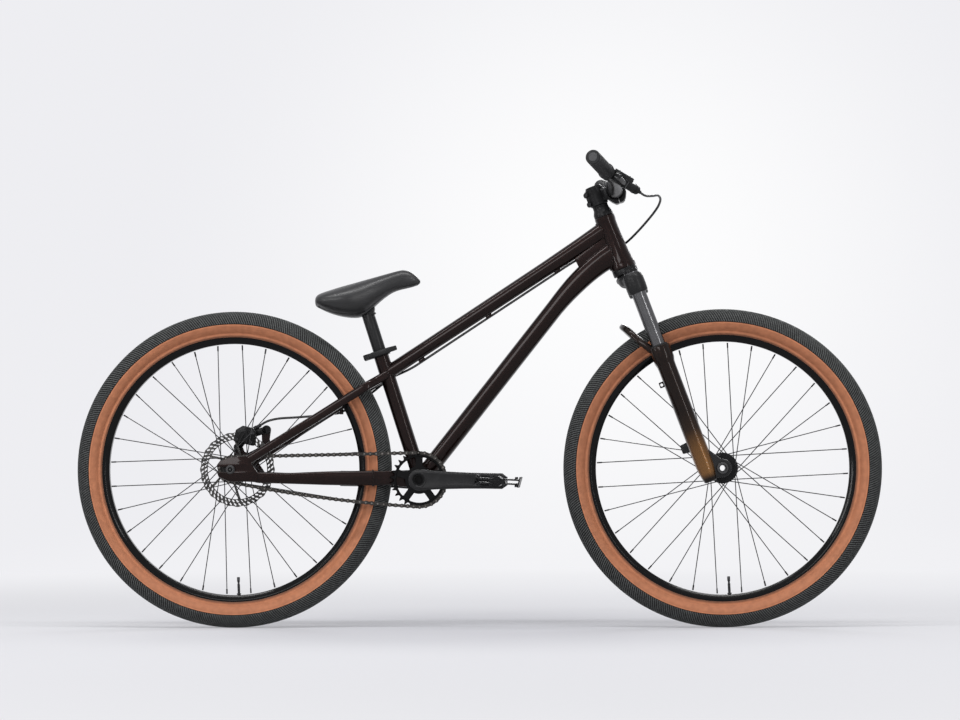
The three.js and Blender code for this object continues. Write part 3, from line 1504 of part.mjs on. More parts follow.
function clampLeverBody() {
  const reach = clampCamRadius;
  const thick = clampLeverThickness;
  const level = clampRadius + gap * 4 + clampPivotY;
  const arm = new THREE.Shape([
    [0, 0], [reach, -level], [clampLeverLength * 0.75, -level], [clampLeverLength, -level - thick * 0.7],
    [clampLeverLength * 0.97, -level - thick * 1.4], [clampLeverLength * 0.72, -level - thick],
    [reach * 0.7, -level - thick], [-reach * 0.6, -reach * 0.75],
  ].map(([x, y]) => new THREE.Vector2(x, y)));
  const blade = new THREE.ExtrudeGeometry(arm, { depth: clampLeverHeight, bevelEnabled: false });
  blade.translate(0, 0, -clampLeverHeight / 2);
  const upright = (radius, height, sides) => bar(vec(0, 0, -height / 2), vec(0, 0, height / 2), radius, sides);
  const cam = upright(reach, clampLeverHeight, 16);
  const bore = upright(clearBore(clampLeverPinRadius, smallSides, runningFit), clampLeverHeight + overrun, smallSides);
  const slot = upright(reach + gap * 5, clampLeverPinRadius * 2 + gap * 2, 16);
  return shifted(cut(join(cam, solid(blade)), bore, slot), clampPivotX, clampPivotY, clampMiddle);
}

add(seatFrame, 'seat_clamp', seatClampBody(), 'blackMetal');
add(seatFrame, 'seat_clamp_lever', clampLeverBody(), 'blackForged');

const postBottom = seatTubeLength - seatPostInsertion;
const postHeadHeight = seatTubeLength + seatPostExposed;

function seatPostBody() {
  const shaftTop = postHeadHeight - overrun;
  const shaft = turnedUpright([
    [seatPostBore, postBottom], [seatPostRadius, postBottom], [seatPostRadius, shaftTop],
    [0, shaftTop], [0, postHeadHeight - postHeadRadius * 1.4],
    [seatPostBore, postHeadHeight - postHeadRadius * 1.8],
  ], tubeSides);
  const head = bar(
    vec(0, -postHeadWidth / 2, postHeadHeight),
    vec(0, postHeadWidth / 2, postHeadHeight),
    postHeadRadius,
    tubeSides,
  );
  return join(shaft, head);
}

add(seatFrame, 'seatpost', seatPostBody(), 'blackForged');

// Saddle sections from tail to nose: distance ahead of the post head, underside, top, half width
const saddleSections = [
  [-109, 6, 18, 28], [-103, 3, 27, 42], [-84, -5, 33, 58], [-54, -17, 39, 64],
  [-24, -22, 48, 57], [4, -14, 57, 44], [28, 10, 66, 33], [50, 29, 74, 27],
  [78, 41, 80, 20], [96, 46, 76, 15], [106, 49, 66, 9], [110, 52, 58, 5],
];

function saddleBody() {
  const centre = onSeat(postHeadHeight);
  const sides = 14;
  const rings = saddleSections.map(([ahead, low, high, halfWidth]) => {
    const [x, bottom, top, width] = [ahead, low, high, halfWidth].map((v) => v * saddleScale);
    const ring = [];
    for (let i = 0; i < sides; i += 1) {
      const angle = (2 * Math.PI * (i + 0.5)) / sides;
      const [across, up] = [Math.cos(angle), Math.sin(angle)];
      const rounded = Math.sign(across) * Math.abs(across) ** 0.85;
      const drawnIn = up < 0 ? 1 + up * saddleDraw : 1;
      const shoulder = bottom + (top - bottom) * 0.55;
      const lift = up > 0 ? (top - shoulder) * up ** 0.9 : (shoulder - bottom) * up;
      ring.push(vec(centre.x + x, width * rounded * drawnIn, centre.z + shoulder + lift));
    }
    return ring;
  });
  const pocketRadius = clearBore(postHeadRadius, tubeSides, runningFit);
  const pocketHalf = postHeadWidth / 2 + runningFit;
  const pocket = bar(vec(0, -pocketHalf, postHeadHeight), vec(0, pocketHalf, postHeadHeight),
    pocketRadius, tubeSides);
  const slotHalf = seatPostRadius + overrun;
  const slot = block(
    vec(0, 0, postHeadHeight - pocketRadius * 2),
    vec(slotHalf * 2, (seatPostRadius + runningFit * 2) * 2, pocketRadius * 4),
  );
  return cut(loft(rings), moved(join(pocket, slot), seatFrame.matrix));
}

add(scene, 'saddle', saddleBody(), 'saddle');

// Headset

function lowerBearingBody() {
  const bore = clearBore(steererBaseRadius, tubeSides, runningFit);
  const [low, high] = [axleToCrown + gap, headTubeBase - gap];
  const seat = headTubeLowerBore * Math.cos(Math.PI / tubeSides) - gap;
  return turnedUpright([
    [bore, low], [lowerCupRadius, low], [lowerCupRadius, high], [seat, high],
    [seat, high + bearingDepth], [bore, high + bearingDepth],
  ], tubeSides);
}

function upperBearingBody() {
  const bore = clearBore(steererRadius, tubeSides, runningFit);
  const seat = headTubeUpperBore * Math.cos(Math.PI / tubeSides) - gap;
  return turnedUpright([
    [bore, headTubeTop - bearingDepth], [seat, headTubeTop - bearingDepth],
    [seat, headTubeTop], [bore, headTubeTop],
  ], tubeSides);
}

function topCoverBody() {
  const bore = clearBore(steererRadius, tubeSides);
  const [low, high] = [headTubeTop + gap, topCoverTop];
  const shoulder = low + topCoverHeight * 0.35;
  return turnedUpright([
    [bore, low], [topCoverRadius, low], [topCoverRadius, shoulder],
    [topCoverTopRadius, high - topCoverHeight * 0.3], [topCoverTopRadius, high], [bore, high],
  ], tubeSides);
}

add(steeringFrame, 'headset_lower_bearing', lowerBearingBody(), 'blackMetal');
add(steeringFrame, 'headset_upper_bearing', upperBearingBody(), 'steel');
add(steeringFrame, 'headset_top_cover', topCoverBody(), 'blackMetal');

// Fork

const crownBottom = axleToCrown - crownHeight;
const crownWebBottom = axleToCrown - crownCentreHeight;
const steererTop = stemTop - gap * 8;
const stanchionTop = axleToCrown - gap * 12;
const lowersTop = crownBottom - stanchionExposed;
const stanchionBottom = lowersTop - stanchionInsertion;

function upright(x, y, from, to, radius, sides = shaftSides, endRadius = radius) {
  return bar(vec(x, y, from), vec(x, y, to), radius, sides, endRadius);
}

add(steeringFrame, 'fork_steerer', turnedUpright([
  [steererBore, crownWebBottom], [steererBaseRadius, crownWebBottom],
  [steererBaseRadius, headTubeBase + bearingDepth], [steererRadius, headTubeBase + bearingDepth + steererTaper],
  [steererRadius, steererTop], [steererBore, steererTop],
], tubeSides), 'blackMetal');

function crownBody() {
  const half = legSpacing / 2;
  const centre = crownDepth * 0.64;
  const socket = (side) => arcPoints(
    crownSocketRadius,
    side > 0 ? -Math.PI * 0.1 : Math.PI * 0.9,
    side > 0 ? Math.PI * 1.1 : Math.PI * 2.1,
    6,
  ).map(([x, y]) => [forkOffset + x, side * half + y]);
  const outline = [
    ...socket(1), [-centre * 0.94, centre * 0.75], [-centre, 0], [-centre * 0.94, -centre * 0.75],
    ...socket(-1), [centre, -centre * 0.75], [centre * 1.04, 0], [centre, centre * 0.75],
  ];
  const web = new THREE.ExtrudeGeometry(
    new THREE.Shape(outline.map(([x, y]) => new THREE.Vector2(x, y))),
    { depth: crownCentreHeight, bevelEnabled: false },
  );
  web.translate(0, 0, crownWebBottom);
  const sockets = [half, -half].map((y) => upright(
    forkOffset,
    y,
    crownBottom,
    crownWebBottom + crownCentreHeight / 2,
    crownSocketRadius,
    shaftSides,
  ));
  const caps = [half, -half].map((y) => upright(
    forkOffset,
    y,
    axleToCrown - crownCentreHeight / 2,
    axleToCrown + topCapHeight,
    stanchionRadius,
    shaftSides,
  ));
  const bores = [half, -half].map((y) => upright(
    forkOffset,
    y,
    crownBottom - overrun,
    stanchionTop + gap,
    clearBore(stanchionRadius, shaftSides),
  ));
  const steererHole = upright(0, 0, crownWebBottom - overrun, axleToCrown + overrun,
    clearBore(steererBaseRadius, tubeSides), tubeSides);
  return cut(join(solid(web), sockets, caps), bores, steererHole);
}

add(steeringFrame, 'fork_crown', crownBody(), 'forkPaint');
for (const [name, side] of [['stanchion_left', 1], ['stanchion_right', -1]]) {
  const y = (side * legSpacing) / 2;
  add(steeringFrame, name, upright(forkOffset, y, stanchionBottom, stanchionTop, stanchionRadius), 'chrome');
}

// The lower legs are one casting with the arch behind the wheel and a ring for the through axle

const frontDropoutInner = frontHubWidth / 2;
const slideRadius = stanchionRadius + runningFit;

function legBody() {
  const y = legSpacing / 2;
  const foot = upright(forkOffset, y, -legFoot, legFoot, legRadius * 0.7, shaftSides, legRadius);
  const leg = upright(forkOffset, y, legFoot, lowersTop - legCollarHeight, legRadius);
  const taper = upright(forkOffset, y, lowersTop - legCollarHeight * 1.4, lowersTop - legCollarHeight,
    legRadius, shaftSides, legCollarRadius);
  const collar = upright(forkOffset, y, lowersTop - legCollarHeight, lowersTop, legCollarRadius);
  const ring = arcPoints(dropoutBossRadius, -Math.PI * 0.6, Math.PI * 0.42, 7)
    .map(([x, z]) => [forkRake + x, z]);
  const lug = plate(outlineOf([
    ...ring, [forkOffset + legRadius * 0.8, legFoot * 3.2], [forkOffset - legRadius * 0.4, legFoot * 3.2],
    [forkOffset - legRadius * 0.4, -legFoot * 0.5],
  ]), dropoutBossLength, frontDropoutInner + dropoutBossLength / 2);
  const bore = upright(forkOffset, y, stanchionBottom - forkTravel - overrun * 2, lowersTop + overrun,
    slideRadius);
  return cut(join(foot, leg, taper, collar, lug), bore);
}

function archBody() {
  const y = legSpacing / 2;
  const base = lowersTop - archSection;
  const side = [
    [forkOffset - legRadius * 0.5, y - 2, base], [forkOffset - archSetback * 0.62, y - 9, base + archRise * 0.52],
    [forkOffset - archSetback * 0.95, y - 26, base + archRise], [forkOffset - archSetback * 1.1, y - 50,
      base + archRise * 1.18],
  ];
  const points = [...side, ...side.map(([px, py, pz]) => [px, -py, pz]).reverse()];
  const rings = points.map(([px, py, pz], i) => {
    const before = vec(...points[Math.max(i - 1, 0)]);
    const after = vec(...points[Math.min(i + 1, points.length - 1)]);
    const tangent = after.sub(before).normalize();
    const across = vec(1, 0, 0).addScaledVector(tangent, -tangent.x).normalize();
    const out = tangent.clone().cross(across).normalize();
    return section(vec(px, py, pz), across, out, archSection, archSection * 1.35, 6, 3);
  });
  return loft(rings);
}

function lowersBody() {
  const axleEnd = frontDropoutInner + dropoutBossLength + overrun;
  const axleBore = bar(vec(forkRake, -axleEnd, 0), vec(forkRake, axleEnd, 0),
    clearBore(frontAxleRadius, shaftSides), shaftSides);
  const y = legSpacing / 2;
  const bores = [y, -y].map((side) => upright(forkOffset, side, stanchionBottom - forkTravel - overrun * 2,
    stanchionTop, slideRadius));
  const bossEnd = forkOffset - brakeBossReach;
  const boss = block(
    vec((forkOffset + bossEnd) / 2, y - brakeBossSize * 0.6, brakeBossHeight),
    vec(forkOffset - bossEnd, brakeBossSize, brakeBossSize * 1.3),
  );
  const hook = block(
    vec(forkOffset - legRadius - guideReach * 0.4, y, legGuideHeight),
    vec(guideReach * 2, guideLength * 0.6, guideLength),
  );
  return cut(join(legBody(), mirrored(legBody()), archBody(), boss, hook), bores, axleBore);
}

add(steeringFrame, 'fork_lowers', lowersBody(), 'forkPaint');

const frontAxleEnd = frontDropoutInner + dropoutBossLength + gap;
const frontAxleTip = frontAxleEnd + topCapHeight;
add(frontWheelFrame, 'front_axle', turned([
  [frontAxleBore, -frontAxleTip], [frontAxleRadius + gap * 8, -frontAxleTip],
  [frontAxleRadius + gap * 8, -frontAxleEnd], [frontAxleRadius, -frontAxleEnd],
  [frontAxleRadius, frontAxleEnd], [frontAxleRadius + gap * 8, frontAxleEnd],
  [frontAxleRadius + gap * 8, frontAxleTip], [frontAxleBore, frontAxleTip],
]), 'blackMetal');

// Stem

const clampX = stemReach;
const clampZ = stemBarHeight;

function lengthwise(x, z, halfLength, radius, sides) {
  return bar(vec(x, -halfLength, z), vec(x, halfLength, z), radius, sides);
}

function stemBlank() {
  const half = barClampWidth / 2;
  const steererClamp = upright(0, 0, topCoverTop + gap, stemTop, stemClampRadius, tubeSides);
  const beam = block(
    vec(clampX / 2, 0, (clampZ + topCoverTop + stemHeight / 2) / 2),
    vec(clampX, stemBeamWidth, stemBeamHeight),
  );
  const lugs = block(vec(clampX, 0, clampZ), vec(faceplateDepth * 2, barClampWidth, faceplateHeight));
  const ears = block(
    vec(-pinchEarReach / 2, 0, (topCoverTop + gap + stemTop) / 2),
    vec(pinchEarReach, stemBeamWidth * 0.72, stemHeight - gap),
  );
  const bolts = [0.22, 0.76].map((share) => lengthwise(
    -pinchEarReach + pinchBoltRadius * 1.2,
    topCoverTop + stemHeight * share,
    stemBeamWidth * 0.42,
    pinchBoltRadius * 0.8,
    smallSides,
  ));
  const barRing = lengthwise(clampX, clampZ, half, barClampOuterRadius, tubeSides);
  const blank = join(steererClamp, beam, lugs, ears, barRing);
  const slit = block(
    vec(-pinchEarReach, 0, topCoverTop + stemHeight / 2),
    vec(pinchEarReach * 2, faceplateGap, stemHeight * 2),
  );
  const steererBody = upright(0, 0, topCoverTop - overrun, stemTop + overrun,
    clearBore(steererRadius, tubeSides), tubeSides);
  const barHole = lengthwise(clampX, clampZ, half + overrun, clearBore(barCentreRadius, tubeSides),
    tubeSides);
  return join(cut(blank, slit, steererBody, barHole), bolts);
}

function faceplateSide() {
  const size = barClampWidth * 2;
  return block(vec(clampX + faceplateGap / 2 + size / 2, 0, clampZ), vec(size, size, size));
}

function faceplateBody() {
  const part = stemBlank().intersect(faceplateSide());
  const bolts = [];
  for (const y of [faceplateBoltSide, -faceplateBoltSide]) {
    for (const rise of [faceplateBoltSpread, -faceplateBoltSpread]) {
      bolts.push(bar(
        vec(clampX + faceplateGap, y, clampZ + rise),
        vec(clampX + faceplateDepth + faceplateBoltRadius * 0.8, y, clampZ + rise),
        faceplateBoltRadius,
      ));
    }
  }
  return join(part, bolts);
}

const stemSide = shifted(faceplateSide(), -faceplateGap - barClampWidth * 2, 0, 0);
add(steeringFrame, 'stem', stemBlank().intersect(stemSide), 'blackMetal');
add(steeringFrame, 'stem_faceplate', faceplateBody(), 'blackMetal');
add(steeringFrame, 'stem_top_cap', turnedUpright([
  [0, stemTop + gap - overrun], [topCapBoltRadius, stemTop + gap - overrun],
  [topCapBoltRadius, stemTop + gap], [stemClampRadius * 0.9, stemTop + gap],
  [stemClampRadius * 0.9, stemTop + topCapHeight * 0.6], [stemClampRadius * 0.8, stemTop + topCapHeight],
  [topCapBoltRadius, stemTop + topCapHeight], [topCapBoltRadius, stemTop + topCapHeight * 0.5],
  [0, stemTop + topCapHeight * 0.5],
]), 'blackMetal');

// Handlebar, level with the ground, in a frame at the middle of the bar clamp

const barFrame = new THREE.Group();
barFrame.position.set(clampX, 0, clampZ);
barFrame.rotation.y = headTilt;
steeringFrame.add(barFrame);
const barOuter = vec(-barSweepBack, barHalfWidth - barBendEnd, barSweepUp).normalize();
const barElbow = vec(0, barBendEnd, barRise);
const barSlope = (barHalfWidth - barBendEnd) / barOuter.y;

// A point on the right or left half of the bar, by its distance outward along the straight end
function onBar(run, side) {
  const point = barElbow.clone().addScaledVector(barOuter, run);
  point.y *= side;
  return point;
}

function handlebarBody() {
  const rise = [
    [0, 0, barCentreRadius], [barClampHalf, 0, barCentreRadius],
    [barBendStart * 1.3, 0.08, barCentreRadius * 0.88], [barBendStart * 2, 0.42, barCentreRadius * 0.76],
    [barBendStart * 2.7, 0.8, barGripRadius],
  ];
  const half = rise.map(([y, share, radius]) => ({ at: vec(0, y, share * barRise), radius }));
  const straight = [0, barBendEnd * 0.15, barSlope];
  for (const run of straight) {
    half.push({ at: onBar(run, 1), radius: barGripRadius, along: barOuter });
  }
  const other = half.slice(1).reverse().map(({ at, radius, along }) => ({
    at: vec(at.x, -at.y, at.z), radius, along: along && vec(-along.x, along.y, -along.z),
  }));
  const stations = [...other, ...half];
  return loft(stations.map(({ at, radius, along }, i) => {
    const before = stations[Math.max(i - 1, 0)].at;
    const after = stations[Math.min(i + 1, stations.length - 1)].at;
    const tangent = along ? along.clone() : after.clone().sub(before).normalize();
    const across = vec(1, 0, 0).addScaledVector(tangent, -tangent.x).normalize();
    const up = tangent.clone().cross(across).normalize();
    return section(at, across, up, radius * 2, radius * 2, shaftSides);
  }));
}

add(barFrame, 'handlebar', handlebarBody(), 'blackMetal');

// Places a body made along Z onto the straight end of the bar
function alongBar(manifold, run, side) {
  const direction = vec(barOuter.x, barOuter.y * side, barOuter.z);
  const turn = new THREE.Quaternion().setFromUnitVectors(vec(0, 0, 1), direction);
  return moved(manifold, new THREE.Matrix4().makeRotationFromQuaternion(turn).setPosition(onBar(run, side)));
}

function gripBody() {
  const bore = clearBore(barGripRadius, shaftSides);
  const end = gripLength;
  return turnedUpright([
    [bore, 0], [gripFlangeRadius, 0], [gripFlangeRadius, gripEndWall * 1.5], [gripRadius, gripEndWall * 2.5],
    [gripRadius, end - gripEndWall], [gripRadius * 0.93, end], [0, end], [0, end - gripEndWall],
    [bore, end - gripEndWall],
  ]);
}

const gripStart = barSlope + gap + gripEndWall - gripLength;
add(barFrame, 'grip_left', alongBar(gripBody(), gripStart, 1), 'rubber');
add(barFrame, 'grip_right', alongBar(gripBody(), gripStart, -1), 'rubber');

// Brake lever on the right, hinged on a pin across its clamp. Its frame follows the bar:
// x reaches forward and down, y inward along the bar, z up.
const leverRun = gripStart - leverClampWidth;
const leverInward = vec(-barOuter.x, barOuter.y, -barOuter.z);
const leverForward = vec(Math.cos(leverPitch), 0, -Math.sin(leverPitch));
leverForward.addScaledVector(leverInward, -leverForward.dot(leverInward)).normalize();
const leverUp = leverForward.clone().cross(leverInward).normalize();
const leverFrame = new THREE.Matrix4().makeBasis(leverForward, leverInward, leverUp);
leverFrame.setPosition(onBar(leverRun, -1));
const leverEye = leverBodyRadius * 0.8;
const leverPivot = vec(leverPivotReach, leverClampWidth * 0.4, 0);

function pivotBar(height, radius, sides = smallSides) {
  const low = leverPivot.clone().add(vec(0, 0, -height / 2));
  const high = leverPivot.clone().add(vec(0, 0, height / 2));
  return bar(low, high, radius, sides);
}

function leverHousing() {
  const inner = clearBore(barGripRadius, shaftSides);
  const ring = bar(
    vec(0, -leverClampWidth / 2, 0),
    vec(0, leverClampWidth / 2, 0),
    inner + leverClampWall,
    shaftSides,
  );
  const bore = bar(vec(0, -leverClampWidth, 0), vec(0, leverClampWidth, 0), inner, shaftSides);
  const toLever = barToWorld().multiply(leverFrame).invert();
  const { tip, outward } = hoseEnd(true);
  const near = tip.clone().addScaledVector(outward, gap);
  const mouth = near.clone().applyMatrix4(toLever);
  const inside = near.clone().addScaledVector(outward, ferruleLength).applyMatrix4(toLever);
  const cylinderStart = vec(leverBodyReach * 0.6, 0, 0);
  const cylinder = bar(cylinderStart, inside, leverBodyRadius, shaftSides);
  const ferrule = bar(inside, mouth, ferruleRadius);
  const lugs = block(
    vec(leverPivotReach * 0.75, leverPivot.y, 0),
    vec(leverPivotReach * 0.5 + leverEye * 2, leverEye * 2, leverBladeWidth + leverLugWall * 2),
  );
  const slot = pivotBar(leverBladeWidth + leverClearance, leverEye * 1.5, 16);
  const mouthSide = block(
    vec(leverPivot.x, leverPivot.y - leverBladeLength / 2, 0),
    vec(leverEye * 3, leverBladeLength, leverBladeWidth + leverClearance),
  );
  const tank = block(
    vec(leverBodyReach * 0.95, leverClampWidth * 0.9, leverReservoirHeight * 0.9),
    vec(leverBodyReach, leverBodyRadius * 2.2, leverReservoirHeight),
  );
  const pin = pivotBar(leverBladeWidth + leverLugWall * 3, leverPinRadius);
  return join(cut(join(ring, cylinder, lugs, tank), bore, slot, mouthSide), ferrule, pin);
}

function leverBlade() {
  const half = leverBladeThickness / 2;
  const line = [
    [leverPivot.x, leverPivot.y], [leverPivot.x + half, leverPivot.y - leverBladeLength * 0.22],
    [leverPivot.x + half * 0.4, leverPivot.y - leverBladeLength * 0.55],
    [leverPivot.x - half * 0.2, leverPivot.y - leverBladeLength * 0.85],
    [leverPivot.x + leverBladeHook, leverPivot.y - leverBladeLength],
  ];
  const rings = line.map(([x, y], i) => {
    const before = line[Math.max(i - 1, 0)];
    const after = line[Math.min(i + 1, line.length - 1)];
    const tangent = vec(after[0] - before[0], after[1] - before[1], 0).normalize();
    const across = vec(-tangent.y, tangent.x, 0);
    return section(vec(x, y, 0), across, vec(0, 0, 1), leverBladeThickness, leverBladeWidth, 8, 3);
  });
  const eye = pivotBar(leverBladeWidth, leverEye, 14);
  const bore = pivotBar(leverBladeWidth * 2, clearBore(leverPinRadius, smallSides, runningFit));
  return cut(join(loft(rings), eye), bore);
}

function barToWorld() {
  steeringFrame.updateMatrixWorld(true);
  return barFrame.matrixWorld.clone();
}

add(barFrame, 'brake_lever_body', moved(leverHousing(), leverFrame), 'blackMetal');
add(barFrame, 'brake_lever', moved(leverBlade(), leverFrame), 'blackForged');

export default scene;
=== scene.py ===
"""Looks of a dirt jump bicycle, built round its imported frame.

Shapes are worked out in millimetres and become metres when their mesh is made. +X is forward, +Y the
rider's left and +Z up. The chain runs on the -Y side and the brake sits on the +Y side.
"""
from math import acos, asin, atan2, ceil, copysign, cos, hypot, pi, radians, sin, sqrt, tan

import bmesh
import bpy
from mathutils import Matrix, Vector
from mathutils.geometry import tessellate_polygon


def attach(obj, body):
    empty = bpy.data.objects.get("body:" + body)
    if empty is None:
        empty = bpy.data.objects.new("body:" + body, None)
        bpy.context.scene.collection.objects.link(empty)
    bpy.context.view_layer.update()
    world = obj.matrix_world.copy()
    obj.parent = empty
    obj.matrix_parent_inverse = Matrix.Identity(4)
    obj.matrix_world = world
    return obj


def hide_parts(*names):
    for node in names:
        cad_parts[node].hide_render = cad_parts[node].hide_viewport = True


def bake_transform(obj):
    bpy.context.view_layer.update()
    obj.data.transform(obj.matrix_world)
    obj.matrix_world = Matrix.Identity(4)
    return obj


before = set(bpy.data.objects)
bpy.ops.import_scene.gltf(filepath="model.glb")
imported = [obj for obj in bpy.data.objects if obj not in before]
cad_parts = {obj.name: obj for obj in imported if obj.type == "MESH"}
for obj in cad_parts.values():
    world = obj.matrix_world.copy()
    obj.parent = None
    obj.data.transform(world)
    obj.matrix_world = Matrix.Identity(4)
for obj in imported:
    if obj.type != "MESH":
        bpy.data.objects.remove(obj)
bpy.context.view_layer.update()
MM = 0.001
TURN = 2 * pi
ACROSS = Vector((0, 1, 0))
HALF_WHEELBASE, AXLE_HEIGHT = 515, 334


def put(name, data):
    """Link a new object that carries the data."""
    made = bpy.data.objects.new(name, data)
    bpy.context.scene.collection.objects.link(made)
    return made


def shifted(x, y, z):
    return Matrix.Translation((x, y, z))


def lean(origin, degrees):
    """A frame at origin whose X axis is tipped up by some degrees; Y stays across the bicycle."""
    a = radians(degrees)
    tipped = Matrix(((cos(a), 0, -sin(a)), (0, 1, 0), (sin(a), 0, cos(a))))
    return Matrix.Translation(origin) @ tipped.to_4x4()


def axes(origin, x, y, z):
    """A frame at origin with its three axes given."""
    turned = Matrix((x, y, z)).transposed().to_4x4()
    return Matrix.Translation(origin) @ turned


# Local X and Y become the bicycle's length and height, and local Z its width
SIDE_ON = Matrix(((1, 0, 0, 0), (0, 0, 1, 0), (0, 1, 0, 0), (0, 0, 0, 1)))
MIRROR = Matrix.Scale(-1, 4, (0, 1, 0))
REAR = lean((-HALF_WHEELBASE, 0, AXLE_HEIGHT), 0)
FRONT = lean((HALF_WHEELBASE, 0, AXLE_HEIGHT), 0)
BRACKET = Vector((-120.108, 0, 311.2))
SEAT = lean(BRACKET, 17.6)
STEERING = lean((475.24, 0, 318.98), 20.7)
CRANKS = lean(BRACKET, -1)
HERE = Matrix()
SIDES = (("left", HERE), ("right", MIRROR))
# Half a turn round the width, and a tilt that brings the Z axis to the left
HALF_TURN = Matrix.Rotation(pi, 4, "Y")
OUTWARD = Matrix.Rotation(-pi / 2, 4, "X")
CALIPER = lean((-496.8, 51, 407.0), -14)
SADDLE = Vector((-234.7, 0, 672.46))
BAR = Vector((292.76, 0, 916.77))
LEVER_AXES = ((0.808217, -0.232041, -0.541241), (0.184795, 0.972606, -0.141028),
              (0.559138, 0.013962, 0.828957))
LEVER = axes((281.278, -245.431, 937.527), *LEVER_AXES)
RIGHT_PEDAL = lean((49.866, 0, 308.233), -8)
LEFT_PEDAL = lean((-290.082, 0, 314.167), -1)


# Camera

def add_camera():
    """The photograph's own view: a long lens beside the chain side, near axle height."""
    data = bpy.data.cameras.new("camera")
    camera = put("camera", data)
    yaw, pitch, roll = radians(3.09), radians(1.67), radians(-0.179)
    ahead = Vector((-sin(yaw) * cos(pitch), cos(yaw) * cos(pitch), sin(pitch)))
    level = Vector((cos(yaw), sin(yaw), 0))
    upright = level.cross(ahead)
    right = cos(roll) * level + sin(roll) * upright
    up = -sin(roll) * level + cos(roll) * upright
    eye = (0.418, -7.6331, 0.3405)
    camera.matrix_world = axes(eye, right, up, -ahead)
    focal_pixels, picture_pixels = 3624, 960
    data.sensor_width = 36
    data.lens = focal_pixels / picture_pixels * data.sensor_width
    data.clip_end = 60
    bpy.context.scene.camera = camera


# Finishes

def node(tree, kind, inputs=None, **settings):
    """Add a node; sockets among its inputs are linked and other values are set."""
    made = tree.nodes.new(kind)
    for key, value in settings.items():
        setattr(made, key, value)
    for key, value in (inputs or {}).items():
        if isinstance(value, bpy.types.NodeSocket):
            tree.links.new(value, made.inputs[key])
        else:
            made.inputs[key].default_value = value
    return made


def shader(name, colour, roughness, metallic=0.0, coat=0.0, coat_roughness=0.04, specular=0.5,
           coat_ior=1.5):
    material = bpy.data.materials.new(name)
    material.use_nodes = True
    values = {"Base Color": (*colour, 1), "Roughness": roughness, "Metallic": metallic,
              "Specular IOR Level": specular, "Coat Weight": coat, "Coat Roughness": coat_roughness,
              "Coat IOR": coat_ior}
    for socket, value in values.items():
        material.node_tree.nodes["Principled BSDF"].inputs[socket].default_value = value
    return material


def feed(material, socket, source):
    """Link one of the finish's own sockets."""
    tree = material.node_tree
    tree.links.new(source, tree.nodes["Principled BSDF"].inputs[socket])


def own_place(tree):
    return node(tree, "ShaderNodeTexCoord").outputs["Object"]


def noise(tree, scale, detail):
    inputs = {"Scale": scale, "Detail": detail, "Vector": own_place(tree)}
    return node(tree, "ShaderNodeTexNoise", inputs).outputs["Fac"]


def cells(tree, scale, feature="F1"):
    return node(tree, "ShaderNodeTexVoronoi", {"Scale": scale, "Vector": own_place(tree)}, feature=feature)


def ramp(tree, source, stops, interpolation="LINEAR"):
    made = node(tree, "ShaderNodeValToRGB", {"Fac": source})
    made.color_ramp.interpolation = interpolation
    elements = made.color_ramp.elements
    while len(elements) < len(stops):
        elements.new(0.5)
    for element, (position, colour) in zip(elements, stops):
        element.position = position
        element.color = (*colour, 1)
    return made.outputs["Color"]


def blotched(tree, scale, detail, low, high):
    """Two tones that drift into each other."""
    return ramp(tree, noise(tree, scale, detail), ((0.3, low), (0.7, high)))


def mixed(tree, way, one, two):
    inputs = {"Factor": 1, "A": one, "B": two}
    return node(tree, "ShaderNodeMix", inputs, data_type="RGBA", blend_type=way).outputs["Result"]


def shade(colour, factor):
    return tuple(min(1, part * factor) for part in colour)


def roughen(material, roughness, scale):
    """Let the roughness drift a little over the surface."""
    tree, spread = material.node_tree, 0.25
    drift = node(tree, "ShaderNodeMapRange", {
        "Value": noise(tree, scale, 4), "To Min": roughness * (1 - spread),
        "To Max": min(1, roughness * (1 + spread))})
    feed(material, "Roughness", drift.outputs["Result"])


def bump(material, height, strength, distance=0.0002):
    inputs = {"Strength": strength, "Distance": distance, "Height": height}
    feed(material, "Normal", node(material.node_tree, "ShaderNodeBump", inputs).outputs["Normal"])


def grained(name, colour, roughness, metallic=0.0, grain=1500, depth=0.15, drift=0.25, blotch=40, **more):
    """A surface with a fine grain, and a slow drift in its colour and gloss."""
    material = shader(name, colour, roughness, metallic, **more)
    tree = material.node_tree
    low, high = shade(colour, 1 - drift), shade(colour, 1 + drift)
    feed(material, "Base Color", blotched(tree, blotch, 5, low, high))
    roughen(material, roughness, blotch * 2.7)
    bump(material, noise(tree, grain, 2), depth)
    return material


def flaked(name, base_colours, flake_colour):
    """Metal flakes under clear lacquer; base_colours gives the colour between the flakes."""
    material = shader(name, (0.02, 0.012, 0.01), 0.36, metallic=0.7, coat=1.0, coat_roughness=0.06,
                      specular=0.1, coat_ior=1.21)
    tree = material.node_tree
    apart = node(tree, "ShaderNodeSeparateColor", {"Color": cells(tree, 2200).outputs["Color"]})
    flakes = ramp(tree, apart.outputs["Red"], ((0.7, (0, 0, 0)), (1.0, flake_colour)))
    feed(material, "Base Color", mixed(tree, "ADD", base_colours(tree), flakes))
    bump(material, apart.outputs["Green"], 0.04, 0.00003)
    return material


def local_height(tree, place, low, high):
    """How far a point lies along the Z axis of a frame, from 0 at low to 1 at high."""
    up = place.to_3x3().col[2]
    along_axis = node(tree, "ShaderNodeVectorMath", {0: own_place(tree), 1: up}, operation="DOT_PRODUCT")
    start = place.translation.dot(up)
    span = node(tree, "ShaderNodeMapRange", {
        "Value": along_axis.outputs["Value"], "From Min": (start + low) * MM,
        "From Max": (start + high) * MM})
    return span.outputs["Result"]


